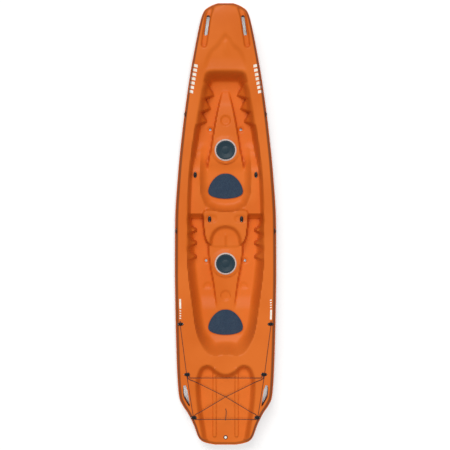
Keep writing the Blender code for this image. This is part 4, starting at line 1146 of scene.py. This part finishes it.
def lay_shock_cord():
    front, front_left = (at_loop(front_corner(), placed["well_front", side], side)
                         for side in ("right", "left"))
    rear, rear_left = (at_loop(rear_corner(), placed["well_rear", side], side)
                       for side in ("right", "left"))
    centre = Vector((0, rear[-1].y, rear[-1].z))
    clear = Vector((KNOT_RADIUS + CLEARANCE, 0, 0))
    crossing = Vector((0, (front[0].y + rear[0].y) / 2, (front[0].z + rear[0].z) / 2))
    lift = Vector((0, 0, CROSSING_LIFT))
    route = [centre - clear, *straight(rear_left, crossing + lift, front),
             *straight(front_left, crossing - lift, rear), centre + clear]
    knot = tie_knot("shock_cord_overhand_knot", centre, KNOT_RADIUS, shock_sheath, ("shock_cord_knot",))
    cord, length, start = draw_cord("tank_well_shock_cord_braid", route, SHOCK_CORD, 0.05)
    finish_piece(cord, "tank_well_shock_cord_braid", shock_sheath, stands_for=("tank_well_shock_cord",),
                 slot="cord_braid")
    tail = [Vector((0, KNOT_RADIUS + CLEARANCE, 0)), Vector((0.004, 0.034, -0.01)),
            Vector((0.006, 0.062, -0.03)), Vector((0.001, TAIL_LENGTH - 0.016, -0.052))]
    places = [centre + step for step in tail]
    end, length, start = draw_cord("shock_cord_free_end", places, SHOCK_CORD, 0.008)
    finish_piece(end, "shock_cord_free_end", shock_sheath, stands_for=("shock_cord_tail",),
                 slot="cord_braid")


def lay_side_line(side, sign):
    stops = [placed[name, side].translation for name in ("rear_side", "well_front", "well_rear")]
    stops = [stop + Vector((sign * SIDE_OFFSET, 0, 0)) for stop in stops]
    ends = [stops[0] + Vector((0, 0.016, 0)), *stops, stops[-1] - Vector((0, 0.014, 0))]
    route = []
    for a, b in zip(ends, ends[1:]):
        count = max(1, round((b - a).length / 0.04))
        route += [a.lerp(b, step / count) for step in range(count)]
    route.append(ends[-1])
    for spot in route:
        reach = [(spot.x + dx, spot.y + dy) for dx in (-0.008, 0, 0.008) for dy in (-0.012, 0, 0.012)]
        spot.z = max(level(deck_tree, px, py) for px, py in reach) + SIDE_CORD / 2 + SIDE_LIFT
    knots = [tie_knot(f"side_line_{place}_knot_{side}", centre, END_KNOT_RADIUS, line_sheath)
             for place, centre in (("fore", route[0] + END_KNOT_OUT), ("aft", route[-1] - END_KNOT_OUT))]
    line, length, start = draw_cord(f"side_line_braid_{side}", route, SIDE_CORD, 0.03)
    finish_piece(line, f"side_line_braid_{side}", line_sheath, stands_for=(f"side_line_{side}",),
                 slot="cord_braid")


lay_shock_cord()
for side, sign in (("right", 1), ("left", -1)):
    lay_side_line(side, sign)

# ---------------------------------------------------------------- vinyl marks

FILM = 0.0006
BOW_BARS = 7
BOW_BAR_STEP = 0.0365
DASHES = 4
DASH_STEP = 0.021
BOW_BAR = [(-0.018, -0.029), (0.018, -0.02), (0.017, 0.004), (-0.019, -0.005)]
SIDE_BAR = [(0.38, -0.042), (0.396, -0.042), (0.398, 0.042), (0.382, 0.042)]
DASH = [(0.381, -0.007), (0.395, -0.004), (0.395, 0.006), (0.381, 0.003)]
MARKS_AT = (-0.676, -0.768)      # the middles of the bar and the dashes on the left; on the right, swapped


def patch(corners, steps=(6, 10)):
    """A small four-cornered film that follows the deck."""
    bpy.ops.mesh.primitive_grid_add(x_subdivisions=steps[0], y_subdivisions=steps[1], size=1)
    film = bpy.context.object
    unit = points_of(film) + 0.5
    (ax, ay), (bx, by), (cx, cy), (dx, dy) = corners
    points = []
    for u, v, _ in unit:
        x = (ax + (bx - ax) * u) * (1 - v) + (dx + (cx - dx) * u) * v
        y = (ay + (by - ay) * u) * (1 - v) + (dy + (cy - dy) * u) * v
        points.append((x, y, level(deck_tree, x, y) + FILM))
    set_points(film, points)
    wall = film.modifiers.new("film", "SOLIDIFY")
    wall.thickness = FILM * 0.8
    wall.offset = -1
    apply_all(film)
    return film


def make_marks():
    """Plain slanted bars along the bow, and a bar and dashes beside the rear seat."""
    for side, sign in (("right", 1), ("left", -1)):
        bars = []
        for i in range(BOW_BARS):
            y = 1.372 - BOW_BAR_STEP * i
            x = 0.256 + 0.0395 * i / (BOW_BARS - 1)
            bars.append(patch([(sign * (x + px), y + py) for px, py in BOW_BAR]))
        finish_piece(joined(bars), f"bow_stripes_{side}", vinyl)
        bar_at, dashes_at = MARKS_AT[::-sign]
        films = [patch([(sign * px, bar_at + py) for px, py in SIDE_BAR], (4, 14))]
        for i in range(DASHES):
            y = dashes_at + 0.032 - DASH_STEP * i
            films.append(patch([(sign * px, y + py) for px, py in DASH], (4, 3)))
        finish_piece(joined(films), f"side_marks_{side}", vinyl)


make_marks()
